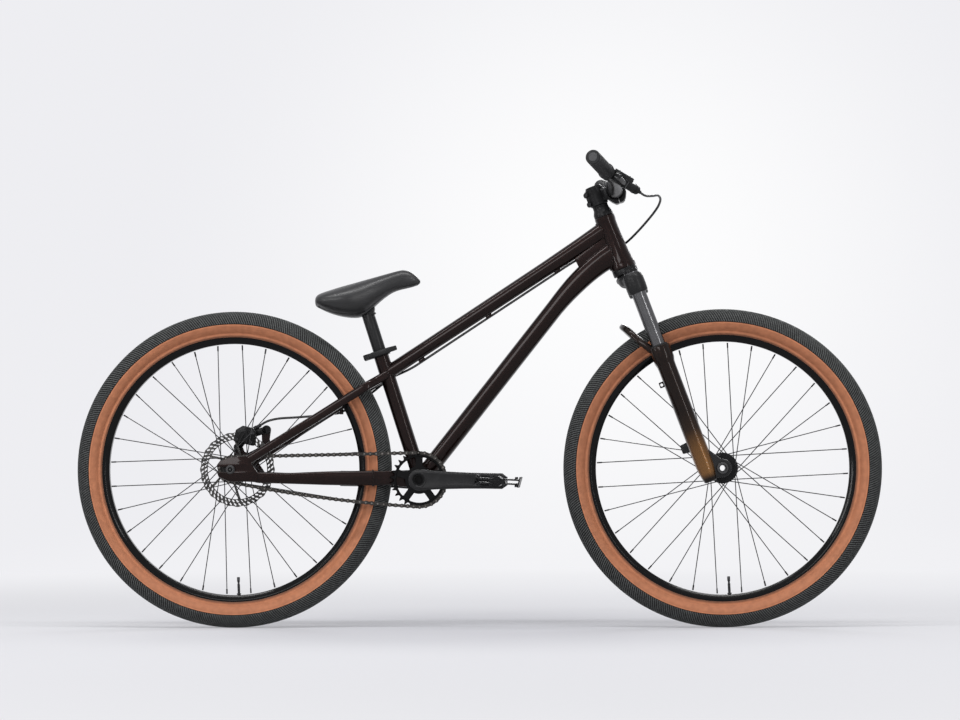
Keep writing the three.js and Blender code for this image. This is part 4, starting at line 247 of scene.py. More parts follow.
def wheel_radius(tree, place):
    """Distance from a wheel's axle, in metres."""
    moved = node(tree, "ShaderNodeMapping", {
        "Location": tuple(-part * MM for part in place.translation), "Vector": own_place(tree)})
    flat = node(tree, "ShaderNodeVectorMath", {0: moved.outputs["Vector"], 1: (1, 0, 1)},
                operation="MULTIPLY")
    return node(tree, "ShaderNodeVectorMath", {0: flat.outputs["Vector"]},
                operation="LENGTH").outputs["Value"]


def frame_colours(tree):
    return blotched(tree, 3, 2, (0.0034, 0.0013, 0.0011), (0.0060, 0.0023, 0.0020))


def fork_colours(tree):
    """Dark brown above, fading to bronze towards the axle."""
    return ramp(tree, local_height(tree, STEERING, -20, 300), (
        (0.03, (0.004, 0.003, 0.0025)), (0.07, (0.16, 0.076, 0.025)), (0.24, (0.12, 0.056, 0.018)),
        (0.37, (0.018, 0.010, 0.006)), (0.5, (0.0065, 0.0036, 0.0030)),
    ))


def tan_sidewall(name, place):
    """Skin-coloured casing with a faint criss-cross of threads, and rings of painted highlight and painted
    shade by radius that stand for its fine moulded rings.
    """
    colour = (0.375, 0.142, 0.068)
    material = shader(name, colour, 0.6, specular=0.3)
    tree = material.node_tree
    span = node(tree, "ShaderNodeMapRange", {
        "Value": wheel_radius(tree, place), "From Min": 0.280, "From Max": 0.310})
    # Painted highlight and shade: lighter rings where moulded ridges would catch light, darker tan next to
    # the rim
    painted_light_tones = ((0.06, 0.45), (0.12, 1), (0.2, 1.3), (0.26, 1), (0.6, 1.1), (0.78, 1), (0.84, 1.35),
             (0.9, 0.9))
    rings = ramp(tree, span.outputs["Result"], [(spot, shade(colour, factor)) for spot, factor in painted_light_tones])
    threads = ramp(tree, noise(tree, 90, 6), ((0.35, (0.82, 0.82, 0.82)), (0.65, (1, 1, 1))))
    feed(material, "Base Color", mixed(tree, "MULTIPLY", rings, threads))
    bump(material, noise(tree, 1400, 2), 0.3)
    return material


def turned_steel(name, place):
    """Ground disc: fine circles round the axle."""
    material = shader(name, (0.05, 0.05, 0.05), 0.3, 1.0)
    tree, circles_per_metre = material.node_tree, 9000
    rings = node(tree, "ShaderNodeMath", {0: wheel_radius(tree, place), 1: circles_per_metre},
                 operation="MULTIPLY")
    wave = node(tree, "ShaderNodeMath", {0: rings.outputs["Value"]}, operation="SINE")
    bump(material, wave.outputs["Value"], 0.12, 0.00004)
    feed(material, "Base Color", blotched(tree, 60, 4, (0.040, 0.039, 0.037), (0.085, 0.083, 0.080)))
    return material


def saddle_cover():
    """Satin cover with a fine leather grain."""
    material = shader("saddle_cover", (0.012, 0.012, 0.0125), 0.36, specular=0.4)
    tree = material.node_tree
    bump(material, cells(tree, 900, "DISTANCE_TO_EDGE").outputs["Distance"], 0.35, 0.0003)
    feed(material, "Base Color", blotched(tree, 25, 4, (0.009, 0.009, 0.0095), (0.015, 0.015, 0.016)))
    roughen(material, 0.36, 160)
    return material


# Each finish: its material, and the material slot of the CAD pieces that it stands for
FINISHES = {
    "frame_paint": (flaked("frame_paint", frame_colours, (0.020, 0.0075, 0.0055)), "frame_paint"),
    "fork_paint": (flaked("fork_paint", fork_colours, (0.018, 0.009, 0.005)), "fork_paint"),
    "rotor_steel": (turned_steel("rotor_steel", REAR), "steel"),
    "front_sidewall": (tan_sidewall("front_sidewall", FRONT), "tyre"),
    "rear_sidewall": (tan_sidewall("rear_sidewall", REAR), "tyre"),
    "saddle_cover": (saddle_cover(), "saddle_cover"),
}
# Grained finishes: finish, slot, material, colour, roughness, metallic and the rest of grained's values
for key, slot, name, colour, roughness, metallic, more in (
    ("black_metal", "black_metal", "black_anodised", (0.008, 0.008, 0.0085), 0.34, 0.25,
     {"specular": 0.15}),
    ("gloss_black", "black_metal", "gloss_black", (0.003, 0.003, 0.0032), 0.14, 0,
     {"depth": 0.04, "specular": 0.12}),
    ("crown_black", "fork_paint", "crown_black", (0.011, 0.011, 0.0115), 0.4, 0.15,
     {"grain": 1100, "depth": 0.2, "specular": 0.2}),
    # Painted shade: a dead black for discs and bolts set deep in recesses, standing for the shade there
    ("painted_recess_shade", "black_forged", "painted_recess_shade", (0.002, 0.002, 0.002), 0.6, 0, {"specular": 0.1}),
    ("black_forged", "black_forged", "black_forged", (0.012, 0.012, 0.0125), 0.36, 0.2,
     {"grain": 900, "depth": 0.2, "specular": 0.2}),
    ("bolt_steel", "black_metal", "bolt_black", (0.03, 0.03, 0.032), 0.3, 0.9, {}),
    ("chrome", "chrome", "hard_chrome", (0.10, 0.10, 0.103), 0.24, 1,
     {"grain": 300, "depth": 0.02, "drift": 0.06}),
    ("spoke_steel", "black_metal", "spoke_black", (0.02, 0.02, 0.021), 0.35, 0.8, {}),
    ("chain_steel", "chain_steel", "chain_steel", (0.035, 0.033, 0.031), 0.36, 0.9,
     {"grain": 800, "depth": 0.2, "drift": 0.4, "blotch": 220}),
    ("bare_teeth", "black_forged", "bare_teeth", (0.03, 0.029, 0.028), 0.38, 0.9, {}),
    ("rubber", "rubber", "grip_rubber", (0.010, 0.010, 0.0105), 0.66, 0,
     {"grain": 1800, "depth": 0.4, "specular": 0.25}),
    ("tread", "tyre", "tread_rubber", (0.070, 0.073, 0.072), 0.75, 0,
     {"grain": 1200, "depth": 0.4, "blotch": 120, "specular": 0.2}),
    # Painted shade: the same rubber as the tread made far darker, standing for the shade in the grooves
    # between the blocks
    ("groove", "tyre", "painted_groove_shade", (0.016, 0.016, 0.016), 0.85, 0,
     {"grain": 1200, "depth": 0.4, "specular": 0.1}),
    ("saddle_base", "saddle_cover", "saddle_base", (0.02, 0.02, 0.021), 0.55, 0,
     {"grain": 700, "depth": 0.3}),
    ("hose", "hose", "hose_jacket", (0.012, 0.012, 0.013), 0.4, 0, {"grain": 2500, "depth": 0.1}),
    ("pin_steel", "chain_steel", "pin_steel", (0.15, 0.14, 0.13), 0.3, 0.9, {}),
    ("axle_steel", "black_metal", "axle_steel", (0.06, 0.06, 0.061), 0.32, 0.9, {}),
    ("grey_lid_and_plug_highlight", "black_metal", "grey_lid_and_plug_highlight", (0.035, 0.035, 0.037), 0.45, 0.3, {}),
    ("pad", "pad", "pad_compound", (0.09, 0.07, 0.05), 0.8, 0.2,
     {"grain": 1500, "depth": 0.6, "drift": 0.5, "blotch": 500}),
):
    FINISHES[key] = (grained(name, colour, roughness, metallic, **more), slot)


# Shapes

class Form:
    """Points in millimetres and the faces between them."""

    def __init__(self, points=(), faces=()):
        self.points = [Vector(point) for point in points]
        self.faces = [tuple(face) for face in faces]

    def __add__(self, other):
        first = len(self.points)
        later = [tuple(first + corner for corner in face) for face in other.faces]
        return Form(self.points + other.points, self.faces + later)

    def at(self, place):
        kept = place.determinant() > 0
        faces = self.faces if kept else [face[::-1] for face in self.faces]
        return Form([place @ point for point in self.points], faces)

    def moved(self, x, y, z):
        return self.at(shifted(x, y, z))

    def both_sides(self):
        return self + self.at(MIRROR)

    def bent(self, change):
        return Form([change(point) for point in self.points], self.faces)

    def outward(self):
        """Turn the faces round if they enclose a negative volume."""
        volume = 0
        for face in self.faces:
            a = self.points[face[0]]
            for i in range(1, len(face) - 1):
                volume += a.dot(self.points[face[i]].cross(self.points[face[i + 1]]))
        return self if volume > 0 else Form(self.points, [face[::-1] for face in self.faces])


def band(rings, closed=False):
    """Join rings of as many points each by quads."""
    sides = len(rings[0])
    faces = []
    for i in range(len(rings) if closed else len(rings) - 1):
        a, b = i * sides, (i + 1) % len(rings) * sides
        faces += [(a + j, a + (j + 1) % sides, b + (j + 1) % sides, b + j) for j in range(sides)]
    return Form([point for ring in rings for point in ring], faces)


def loft(rings, closed=False):
    form = band(rings, closed)
    if not closed:
        sides = len(rings[0])
        last = (len(rings) - 1) * sides
        form.faces.append(tuple(reversed(range(sides))))
        form.faces.append(tuple(last + j for j in range(sides)))
    return form.outward()


def polar(radius, angle, x=0.0, y=0.0):
    return x + radius * cos(angle), y + radius * sin(angle)


def ring_at(radius, height, steps):
    return [Vector((*polar(radius, TURN * j / steps), height)) for j in range(steps)]


def lathe(profile, steps=48):
    """Turn (radius, height) points round Z; a profile that starts on the axis ends there too."""
    closed = profile[0][0] > 0
    return band([ring_at(radius, height, steps) for radius, height in profile], closed).outward()


def collar(inner, outer, low, high, chamfer, steps):
    """A ring between two heights with its two outer edges chamfered."""
    return lathe([(inner, low), (outer - chamfer, low), (outer, low + chamfer), (outer, high - chamfer),
                  (outer - chamfer, high), (inner, high)], steps)


def eased(points, radius, steps=3, closed=True):
    """Round the corners of an outline; radius is one number or one for each corner."""
    count = len(points)
    radii = radius if isinstance(radius, (list, tuple)) else [radius] * count
    result = []
    for i, point in enumerate(points):
        corner = Vector(point[:2])
        if radii[i] == 0 or (not closed and i in (0, count - 1)):
            result.append(corner)
            continue
        before = Vector(points[i - 1][:2]) - corner
        after = Vector(points[(i + 1) % count][:2]) - corner
        half = before.angle(after) / 2
        reach = min(radii[i] / max(tan(half), 0.05), 0.48 * before.length, 0.48 * after.length)
        start, end = corner + before.normalized() * reach, corner + after.normalized() * reach
        for step in range(steps + 1):
            t = step / steps
            result.append(start * (1 - t) ** 2 + corner * 2 * t * (1 - t) + end * t * t)
    return result


def arc(radius, start, end, steps, x=0.0, y=0.0):
    """Points on an arc, with its angles in degrees."""
    angles = [radians(start + (end - start) * i / steps) for i in range(steps + 1)]
    return [Vector(polar(radius, angle, x, y)) for angle in angles]


def circle(radius, steps, x=0.0, y=0.0):
    return arc(radius, 0, 360 * (steps - 1) / steps, steps - 1, x, y)


def wound(outline, anticlockwise):
    area = sum(a.cross(b) for a, b in zip(outline, outline[1:] + outline[:1]))
    return outline if (area > 0) == anticlockwise else outline[::-1]


def inset(outline, distance):
    """Move an outline's edges sideways to their left."""
    result = []
    for i, point in enumerate(outline):
        one = (point - outline[i - 1]).normalized()
        two = (outline[(i + 1) % len(outline)] - point).normalized()
        one_left, two_left = Vector((-one.y, one.x)), Vector((-two.y, two.x))
        middle = (one_left + two_left).normalized()
        result.append(point + middle * distance / max(0.35, middle.dot(one_left)))
    return result


def plate(outline, low, high, bevel=0.6, holes=(), steps=1):
    """A flat piece between two heights with eased edges, and holes through it."""
    loops = [wound([Vector(p[:2]) for p in outline], True)]
    loops += [wound([Vector(p[:2]) for p in hole], False) for hole in holes]
    turns = [pi / 2 * i / steps for i in range(steps + 1)]
    under = [(low + bevel * (1 - cos(a)), bevel * (1 - sin(a))) for a in turns]
    levels = under + [(low + high - height, distance) for height, distance in reversed(under)]
    form, flat = Form(), []
    for loop in loops:
        rings = []
        for height, distance in levels:
            moved = inset(loop, distance) if distance > 1e-6 else loop
            rings.append([Vector((p.x, p.y, height)) for p in moved])
        form = form + band(rings)
        flat.append([Vector((p.x, p.y, 0)) for p in rings[0]])
    corners = [point for loop in flat for point in loop]
    for a, b, c in tessellate_polygon(flat):
        up = (corners[b] - corners[a]).cross(corners[c] - corners[a]).z > 0
        face = (a, b, c) if up else (c, b, a)
        first = len(form.points)
        form.points += [Vector((corners[i].x, corners[i].y, high)) for i in face]
        form.points += [Vector((corners[i].x, corners[i].y, low)) for i in reversed(face)]
        form.faces += [(first, first + 1, first + 2), (first + 3, first + 4, first + 5)]
    return form


def block(size, bevel, place=Matrix(), steps=2):
    """A rounded bar: a plate seen along Z with its upright edges rounded as well."""
    x, y, z = (part / 2 for part in size)
    outline = eased([(-x, -y), (x, -y), (x, y), (-x, y)], bevel * 1.4, steps)
    return plate(outline, -z, z, bevel, steps=steps).at(place)


def squircle(width, height, squareness, sides):
    result = []
    for j in range(sides):
        c, s = cos(TURN * j / sides), sin(TURN * j / sides)
        power = 2 / squareness
        result.append((copysign(abs(c) ** power, c) * width / 2, copysign(abs(s) ** power, s) * height / 2))
    return result


def smooth(stations, steps=4):
    """More stations on a smooth curve through the given ones."""
    rows = [Vector(station) if len(station) < 5 else list(station) for station in stations]
    result = []
    for i in range(len(rows) - 1):
        p0, p1, p2, p3 = rows[max(i - 1, 0)], rows[i], rows[i + 1], rows[min(i + 2, len(rows) - 1)]
        for step in range(steps):
            t = step / steps
            result.append([
                0.5 * (2 * b + (c - a) * t + (2 * a - 5 * b + 4 * c - d) * t * t
                       + (3 * b - a - 3 * c + d) * t ** 3)
                for a, b, c, d in zip(p0, p1, p2, p3)
            ])
    result.append(list(rows[-1]))
    return result


def strut_rings(stations, squareness=2.0, sides=40, side=(0, 1, 0)):
    """Oval rings along (x, y, z, width, height) stations; width lies towards side."""
    path = [Vector(station[:3]) for station in stations]
    side = Vector(side)
    rings = []
    for i, station in enumerate(stations):
        ahead = (path[min(i + 1, len(path) - 1)] - path[max(i - 1, 0)]).normalized()
        across = (side - ahead * side.dot(ahead)).normalized()
        up = ahead.cross(across)
        oval = squircle(station[3], station[4], squareness, sides)
        rings.append([path[i] + across * a + up * b for a, b in oval])
    return rings


def strut(stations, squareness=2.0, sides=40, side=(0, 1, 0), dome=0.0):
    """A loft along stations, with its ends domed by some millimetres."""
    rings = strut_rings(stations, squareness, sides, side)
    if dome:
        for end, inner in ((0, 1), (-1, -2)):
            centre = sum(rings[end], Vector()) / sides
            ahead = (centre - sum(rings[inner], Vector()) / sides).normalized()
            caps = [[centre + (p - centre) * k + ahead * dome * h for p in rings[end]]
                    for k, h in ((0.93, 0.45), (0.75, 0.82), (0.4, 1.0))]
            rings = caps[::-1] + rings if end == 0 else rings + caps
    return loft(rings)


def tube(path, radius, sides=16, closed=False):
    """A round tube along any path; radius may be a list."""
    path = [Vector(point) for point in path]
    radii = radius if isinstance(radius, list) else [radius] * len(path)
    count = len(path)
    normal, rings = None, []
    for i, point in enumerate(path):
        after = path[(i + 1) % count] if closed else path[min(i + 1, count - 1)]
        before = path[i - 1] if closed else path[max(i - 1, 0)]
        ahead = (after - before).normalized()
        if normal is None:
            normal = ahead.orthogonal().normalized()
        normal = (normal - ahead * normal.dot(ahead)).normalized()
        other = ahead.cross(normal)
        angles = [TURN * j / sides for j in range(sides)]
        rings.append([point + (normal * cos(a) + other * sin(a)) * radii[i] for a in angles])
    return loft(rings, closed)


def along(start, end):
    """A frame at start whose Z axis points to end."""
    start, end = Vector(start), Vector(end)
    return Matrix.Translation(start) @ (end - start).to_track_quat("Z", "Y").to_matrix().to_4x4()


def rod(start, end, radius, steps=24, chamfer=0.5, end_radius=None):
    """A round bar with eased edges between two points."""
    length = (Vector(end) - Vector(start)).length
    other = end_radius or radius
    profile = [(0, 0), (radius - chamfer, 0), (radius, chamfer), (other, length - chamfer),
               (other - chamfer, length), (0, length)]
    return lathe(profile, steps).at(along(start, end))


def socket_screw(place, radius, height, socket=None):
    """A cap screw's head with a hexagon recess; it stands on the frame's XY plane."""
    socket = socket or radius * 0.55
    steps = 24

    def ring(reach, level, six=False):
        points = []
        for j in range(steps):
            a = TURN * j / steps
            size = reach * cos(pi / 6) / cos((a % (pi / 3)) - pi / 6) if six else reach
            points.append(Vector((*polar(size, a), level)))
        return points

    rings = [ring(radius, 0), ring(radius, height - radius * 0.15), ring(radius * 0.86, height),
             ring(socket * 1.08, height, True), ring(socket, height - radius * 0.1, True),
             ring(socket, height * 0.35, True)]
    return loft(rings).at(place)


def seated(ring, ahead, inside, reach=70, steps=70):
    """Slide each point of a ring ahead until it enters another piece."""
    result = []
    for point in ring:
        start = point - ahead * reach / 2
        hit = None
        for step in range(steps + 1):
            if inside(start + ahead * reach * step / steps):
                hit = step
                break
        if hit is None:
            result.append(point)
            continue
        low, high = (hit - 1) * reach / steps, hit * reach / steps
        for _ in range(12):
            middle = (low + high) / 2
            low, high = (low, middle) if inside(start + ahead * middle) else (middle, high)
        result.append(start + ahead * high)
    return result


def in_round(place, radius):
    """A test for points inside a round tube along a frame's Z axis; radius may follow the height."""
    back = place.inverted()

    def inside(point):
        local = back @ point
        size = radius(local.z) if callable(radius) else radius
        return hypot(local.x, local.y) < size

    return inside


weld_loops = []


def welded(stations, squareness, sides, start_in=None, end_in=None):
    """A strut whose ends are cut to fit other tubes, each with a weld bead round it."""
    rings = strut_rings(stations, squareness, sides)
    for test, end, beside in ((start_in, 0, 1), (end_in, -1, -2)):
        if test is None:
            continue
        ahead = (sum(rings[end], Vector()) - sum(rings[beside], Vector())).normalized()
        rings[end] = seated(rings[end], ahead, test)
        weld_loops.append([point - ahead * 0.4 for point in rings[end]])
    return loft(rings)


# Pieces

def mesh_of(name, parts):
    """One mesh from (form, finish) pairs, in metres, with doubles merged."""
    work = bmesh.new()
    finishes = []
    for form, finish in parts:
        if finish not in finishes:
            finishes.append(finish)
        corners = [work.verts.new(point * MM) for point in form.points]
        for face in form.faces:
            made = work.faces.new([corners[i] for i in face])
            made.material_index = finishes.index(finish)
            made.smooth = True
    bmesh.ops.remove_doubles(work, verts=work.verts, dist=2e-6)
    mesh = bpy.data.meshes.new(name)
    work.to_mesh(mesh)
    work.free()
    for finish in finishes:
        mesh.materials.append(FINISHES[finish][0])
    return mesh


def place_mesh(name, mesh, body, stands_for=(), crease=34):
    made = put(name, mesh)
    mesh.shade_smooth()
    mesh.set_sharp_from_angle(angle=radians(crease))
    if body:
        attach(made, body)
    if stands_for:
        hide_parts(*stands_for)
    return made


def add_piece(name, body, place, *parts, stands_for=None, crease=34):
    """Make a piece from (form, finish) pairs; it stands for the node of its own name."""
    stands_for = [name] if stands_for is None else stands_for
    mesh = mesh_of(name + "_finished", [(form.at(place), finish) for form, finish in parts])
    return place_mesh(name + "_finished", mesh, body, stands_for, crease)


# Geometry node trees for what repeats

def new_tree(name, **inputs):
    """A tree with a guide mesh, some values and a finish as its inputs."""
    tree = bpy.data.node_groups.new(name, "GeometryNodeTree")
    tree.is_modifier = True
    for label, kind in (("Geometry", "Geometry"), *inputs.items(), ("Finish", "Material")):
        tree.interface.new_socket(label, in_out="INPUT", socket_type="NodeSocket" + kind)
    tree.interface.new_socket("Geometry", in_out="OUTPUT", socket_type="NodeSocketGeometry")
    return tree, node(tree, "NodeGroupInput").outputs


def end_tree(tree, geometry, given):
    """Realize the instances and give them their finish."""
    realize = node(tree, "GeometryNodeRealizeInstances", {"Geometry": geometry})
    finish = node(tree, "GeometryNodeSetMaterial", {
        "Geometry": realize.outputs["Geometry"], "Material": given["Finish"]})
    node(tree, "NodeGroupOutput", {"Geometry": finish.outputs["Geometry"]})
    return tree


def wire_tree():
    """Turn guide edges into round wires."""
    tree, given = new_tree("wires", Radius="Float", Sides="Int")
    line = node(tree, "GeometryNodeMeshToCurve", {"Mesh": given["Geometry"]})
    section = node(tree, "GeometryNodeCurvePrimitiveCircle", {
        "Resolution": given["Sides"], "Radius": given["Radius"]})
    skin = node(tree, "GeometryNodeCurveToMesh", {
        "Curve": line.outputs["Curve"], "Profile Curve": section.outputs["Curve"], "Fill Caps": True})
    return end_tree(tree, skin.outputs["Mesh"], given)


def unit_tree():
    """Set a copy of a unit on each guide point, turned by the point's own angles."""
    tree, given = new_tree("units", Unit="Object")
    unit = node(tree, "GeometryNodeObjectInfo", {"Object": given["Unit"]})
    turn = node(tree, "GeometryNodeInputNamedAttribute", {"Name": "turn"}, data_type="FLOAT_VECTOR")
    rotation = node(tree, "FunctionNodeEulerToRotation", {"Euler": turn.outputs["Attribute"]})
    copies = node(tree, "GeometryNodeInstanceOnPoints", {
        "Points": given["Geometry"], "Instance": unit.outputs["Geometry"],
        "Rotation": rotation.outputs["Rotation"]})
    return end_tree(tree, copies.outputs["Instances"], given)


def bead_tree():
    """Lay overlapping beads along guide edges, as a weld has."""
    tree, given = new_tree("weld_beads", Spacing="Float", Radius="Float")
    line = node(tree, "GeometryNodeMeshToCurve", {"Mesh": given["Geometry"]})
    spaced = node(tree, "GeometryNodeResampleCurve", {
        "Curve": line.outputs["Curve"], "Length": given["Spacing"]}, mode="LENGTH")
    bead = node(tree, "GeometryNodeMeshIcoSphere", {"Subdivisions": 2, "Radius": given["Radius"]})
    copies = node(tree, "GeometryNodeInstanceOnPoints", {
        "Points": spaced.outputs["Curve"], "Instance": bead.outputs["Mesh"]})
    return end_tree(tree, copies.outputs["Instances"], given)


WIRES, UNITS, BEADS = wire_tree(), unit_tree(), bead_tree()


def grown(name, tree, guide, inputs):
    """Run a tree over a guide mesh and keep the result as a plain mesh."""
    carrier = put(name + "_guide", guide)
    modifier = carrier.modifiers.new("grow", "NODES")
    modifier.node_group = tree
    sockets = {item.name: item.identifier for item in tree.interface.items_tree if item.in_out == "INPUT"}
    for label, value in inputs.items():
        modifier[sockets[label]] = value
    bpy.context.view_layer.update()
    ready = carrier.evaluated_get(bpy.context.evaluated_depsgraph_get())
    mesh = bpy.data.meshes.new_from_object(ready)
    mesh.name = name
    carrier.modifiers.remove(modifier)
    bpy.data.objects.remove(carrier)
    return mesh


def guide_lines(name, lines, closed):
    points, edges = [], []
    for line in lines:
        first, count = len(points), len(line)
        points += [Vector(point) * MM for point in line]
        edges += [(first + i, first + (i + 1) % count) for i in range(count if closed else count - 1)]
    guide = bpy.data.meshes.new(name + "_lines")
    guide.from_pydata(points, edges, [])
    return guide


def add_wires(name, body, lines, radius, finish, sides=8, closed=False):
    inputs = {"Radius": radius * MM, "Sides": sides, "Finish": FINISHES[finish][0]}
    return place_mesh(name, grown(name, WIRES, guide_lines(name, lines, closed), inputs), body)


def add_units(name, body, unit, places, finish, crease=34):
    """Copies of a unit form at each of the places, which are matrices."""
    guide = bpy.data.meshes.new(name + "_points")
    guide.from_pydata([place.translation * MM for place in places], [], [])
    turns = guide.attributes.new("turn", "FLOAT_VECTOR", "POINT")
    turns.data.foreach_set("vector", [part for place in places for part in place.to_euler()])
    pattern = put(name + "_unit", mesh_of(name + "_unit", [(unit, finish)]))
    mesh = grown(name, UNITS, guide, {"Unit": pattern, "Finish": FINISHES[finish][0]})
    bpy.data.objects.remove(pattern)
    return place_mesh(name, mesh, body, crease=crease)


add_camera()


# Hose

HOSE_ROUTE = [
    (346.5, -170, 903), (353, -160, 898.5), (361, -148, 896.5), (373, -130, 898), (383, -108, 900.5),
    (388, -84, 894.5), (384, -60, 883), (374, -38, 869.5), (359, -15, 853), (341.5, 6, 835),
    (320, 23, 815), (300, 31, 801), (280, 32, 793), (262, 27, 791.5), (245, 17, 788.5),
    (228, 7, 781.5), (208, 1, 771.5), (187.3, 0, 759), (153.8, 0, 737.2), (95.2, 0, 698.9),
    (40.8, 0, 663.4), (11.4, 0, 644.3), (-47.2, 0, 606), (-101.6, 0, 570.5), (-130.9, 0, 551.4),
    (-150, 6, 541.5), (-168, 16, 534), (-186, 25, 526), (-204, 30, 513), (-222, 36, 499),
    (-240, 41, 486.5), (-262, 45.5, 472.3), (-292, 50.5, 455.3), (-306, 56, 452.2),
    (-322, 58.5, 450.5), (-338, 58, 449), (-355, 56.5, 447), (-390, 57.5, 444.5),
    (-425, 60, 442.5), (-446, 60.5, 438.5), (-456.5, 60, 434.3), (-466, 59, 428.5),
]


def add_hose():
    """The brake's hose along its whole route, from the lever to the caliper."""
    form = tube(smooth(HOSE_ROUTE, 6), 2.5, 14)
    made = add_piece("brake_hose", None, HERE, (form, "hose"))
    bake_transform(made)


add_hose()


# Wheels

TYRE_MIDDLE, TYRE_HALF_WIDTH, TYRE_HALF_HEIGHT = 308, 29, 26
TREAD_HEIGHT, TREAD_COLUMNS = 1.7, 400
# Spokes of a wheel, how many spaces each runs round the hub, and the radii of its two ends
SPOKES, SPOKES_ROUND, HOLES_RADIUS, SEATS_RADIUS = 32, 6, 26.3, 262
# End, axle, half width over the nuts, span of the flanges, barrel radius and bore radius
WHEELS = (("front", FRONT, 54.7, 56, 15.0, 10.2), ("rear", REAR, 67.2, 58, 14.5, 5.2))


def tyre_profile(angles, shrink=0.0):
    return [(TYRE_MIDDLE + (TYRE_HALF_HEIGHT - shrink) * cos(radians(a)),
             (TYRE_HALF_WIDTH - shrink) * sin(radians(a))) for a in angles]


def turned_wheel(end, place):
    """Spokes, valve and hub stand a few degrees further round than the axle's own frame."""
    return place @ Matrix.Rotation(radians(-3 if end == "front" else -2), 4, "Y")


def add_tyre(end, place):
    """Casing with a tan sidewall, and staggered rows of small lozenge blocks for the tread."""
    crown = tyre_profile(range(-94, 95, 4), TREAD_HEIGHT)
    side = tyre_profile(range(94, 143, 4), TREAD_HEIGHT * 0.6)
    bead = [(286.6, 16.7), (283.6, 17.2), (281.0, 17.0), (279.6, 16.3), (279.8, 15.5), (284.9, 15.5),
            (284.9, 12.3), (279.7, 10.9), (279.7, 8.6), (283, 8.0)]
    inner = tyre_profile(range(146, -147, -12), 4.2)
    outer_ring = side + bead
    steps = 144
    tread_part = band([ring_at(r, y, steps) for r, y in crown])
    rest = [crown[-1]] + outer_ring + inner + [(r, -y) for r, y in reversed(outer_ring)] + [crown[0]]
    casing = band([ring_at(r, y, steps) for r, y in rest])
    turned = place @ SIDE_ON
    # The crown under the tread blocks takes the painted groove shade
    parts = [(tread_part.at(turned), "groove"), (casing.at(turned), end + "_sidewall")]
    whole = tread_part + casing
    if whole.outward() is not whole:
        parts = [(Form(form.points, [face[::-1] for face in form.faces]), finish) for form, finish in parts]
    add_piece(end + "_tyre", end + "_wheel", HERE, *parts, crease=50)
    unit_long, unit_wide = 3.5, 1.35
    base = [(-unit_long, -unit_wide * 0.7), (unit_long * 0.8, -unit_wide), (unit_long, unit_wide * 0.7),
            (-unit_long * 0.8, unit_wide)]
    levels = ((1.08, -0.5), (0.86, TREAD_HEIGHT - 0.02))
    rings = [[Vector((x * k, y * k, h)) for x, y in base] for k, h in levels]
    places = []
    for row, degrees in enumerate(range(-84, 85, 12)):
        (radius, y), = tyre_profile([degrees], TREAD_HEIGHT)
        turn = radians(degrees)
        tilt = atan2(TYRE_HALF_HEIGHT * sin(turn), TYRE_HALF_WIDTH * cos(turn))
        slant = radians(58 if degrees > 0 else 122)
        for column in range(TREAD_COLUMNS):
            around = TURN * (column + 0.5 * (row % 2)) / TREAD_COLUMNS
            spot = Matrix.Rotation(around, 4, "Y") @ shifted(0, y, radius)
            spot = spot @ Matrix.Rotation(-tilt, 4, "X") @ Matrix.Rotation(slant, 4, "Z")
            places.append(place @ spot)
    add_units(end + "_tread", end + "_wheel", loft(rings), places, "tread", 20)


def add_rim(end, place):
    outline = [(284.5, 15.2), (284.5, 12.8), (273, 9.2), (273, -9.2), (284.5, -12.8), (284.5, -15.2),
               (275, -14.6), (265.5, -8.5), (265.5, 8.5), (275, 14.6)]
    profile = eased(outline, [0.9, 0.6, 2, 2, 0.6, 0.9, 6, 2.5, 2.5, 6])
    form = lathe(profile, 160).at(place @ SIDE_ON)
    add_piece(end + "_rim", end + "_wheel", HERE, (form, "gloss_black"), crease=40)


def add_inner_tube(end, place):
    """The tube inside the tyre, and its valve through the rim."""
    ring = lathe([(300 + 19 * cos(radians(a)), 19 * sin(radians(a))) for a in range(0, 360, 30)], 72)
    stem = [(0, 227.5), (2.6, 227.5), (3.1, 228.3), (3.1, 237), (2.2, 238), (2.2, 242)]
    for thread in range(12):
        stem += [(3.0, 242.6 + thread * 1.6), (2.7, 243.4 + thread * 1.6)]
    stem += [(3.0, 262), (4.6, 262), (4.6, 264.5), (3.0, 265), (3.0, 285), (0, 285)]
    valve = lathe(stem, 20).at(turned_wheel(end, place) @ HALF_TURN)
    add_piece(end + "_inner_tube", end + "_wheel", HERE, (ring.at(place @ SIDE_ON), "rubber"),
              (valve, "bolt_steel"))


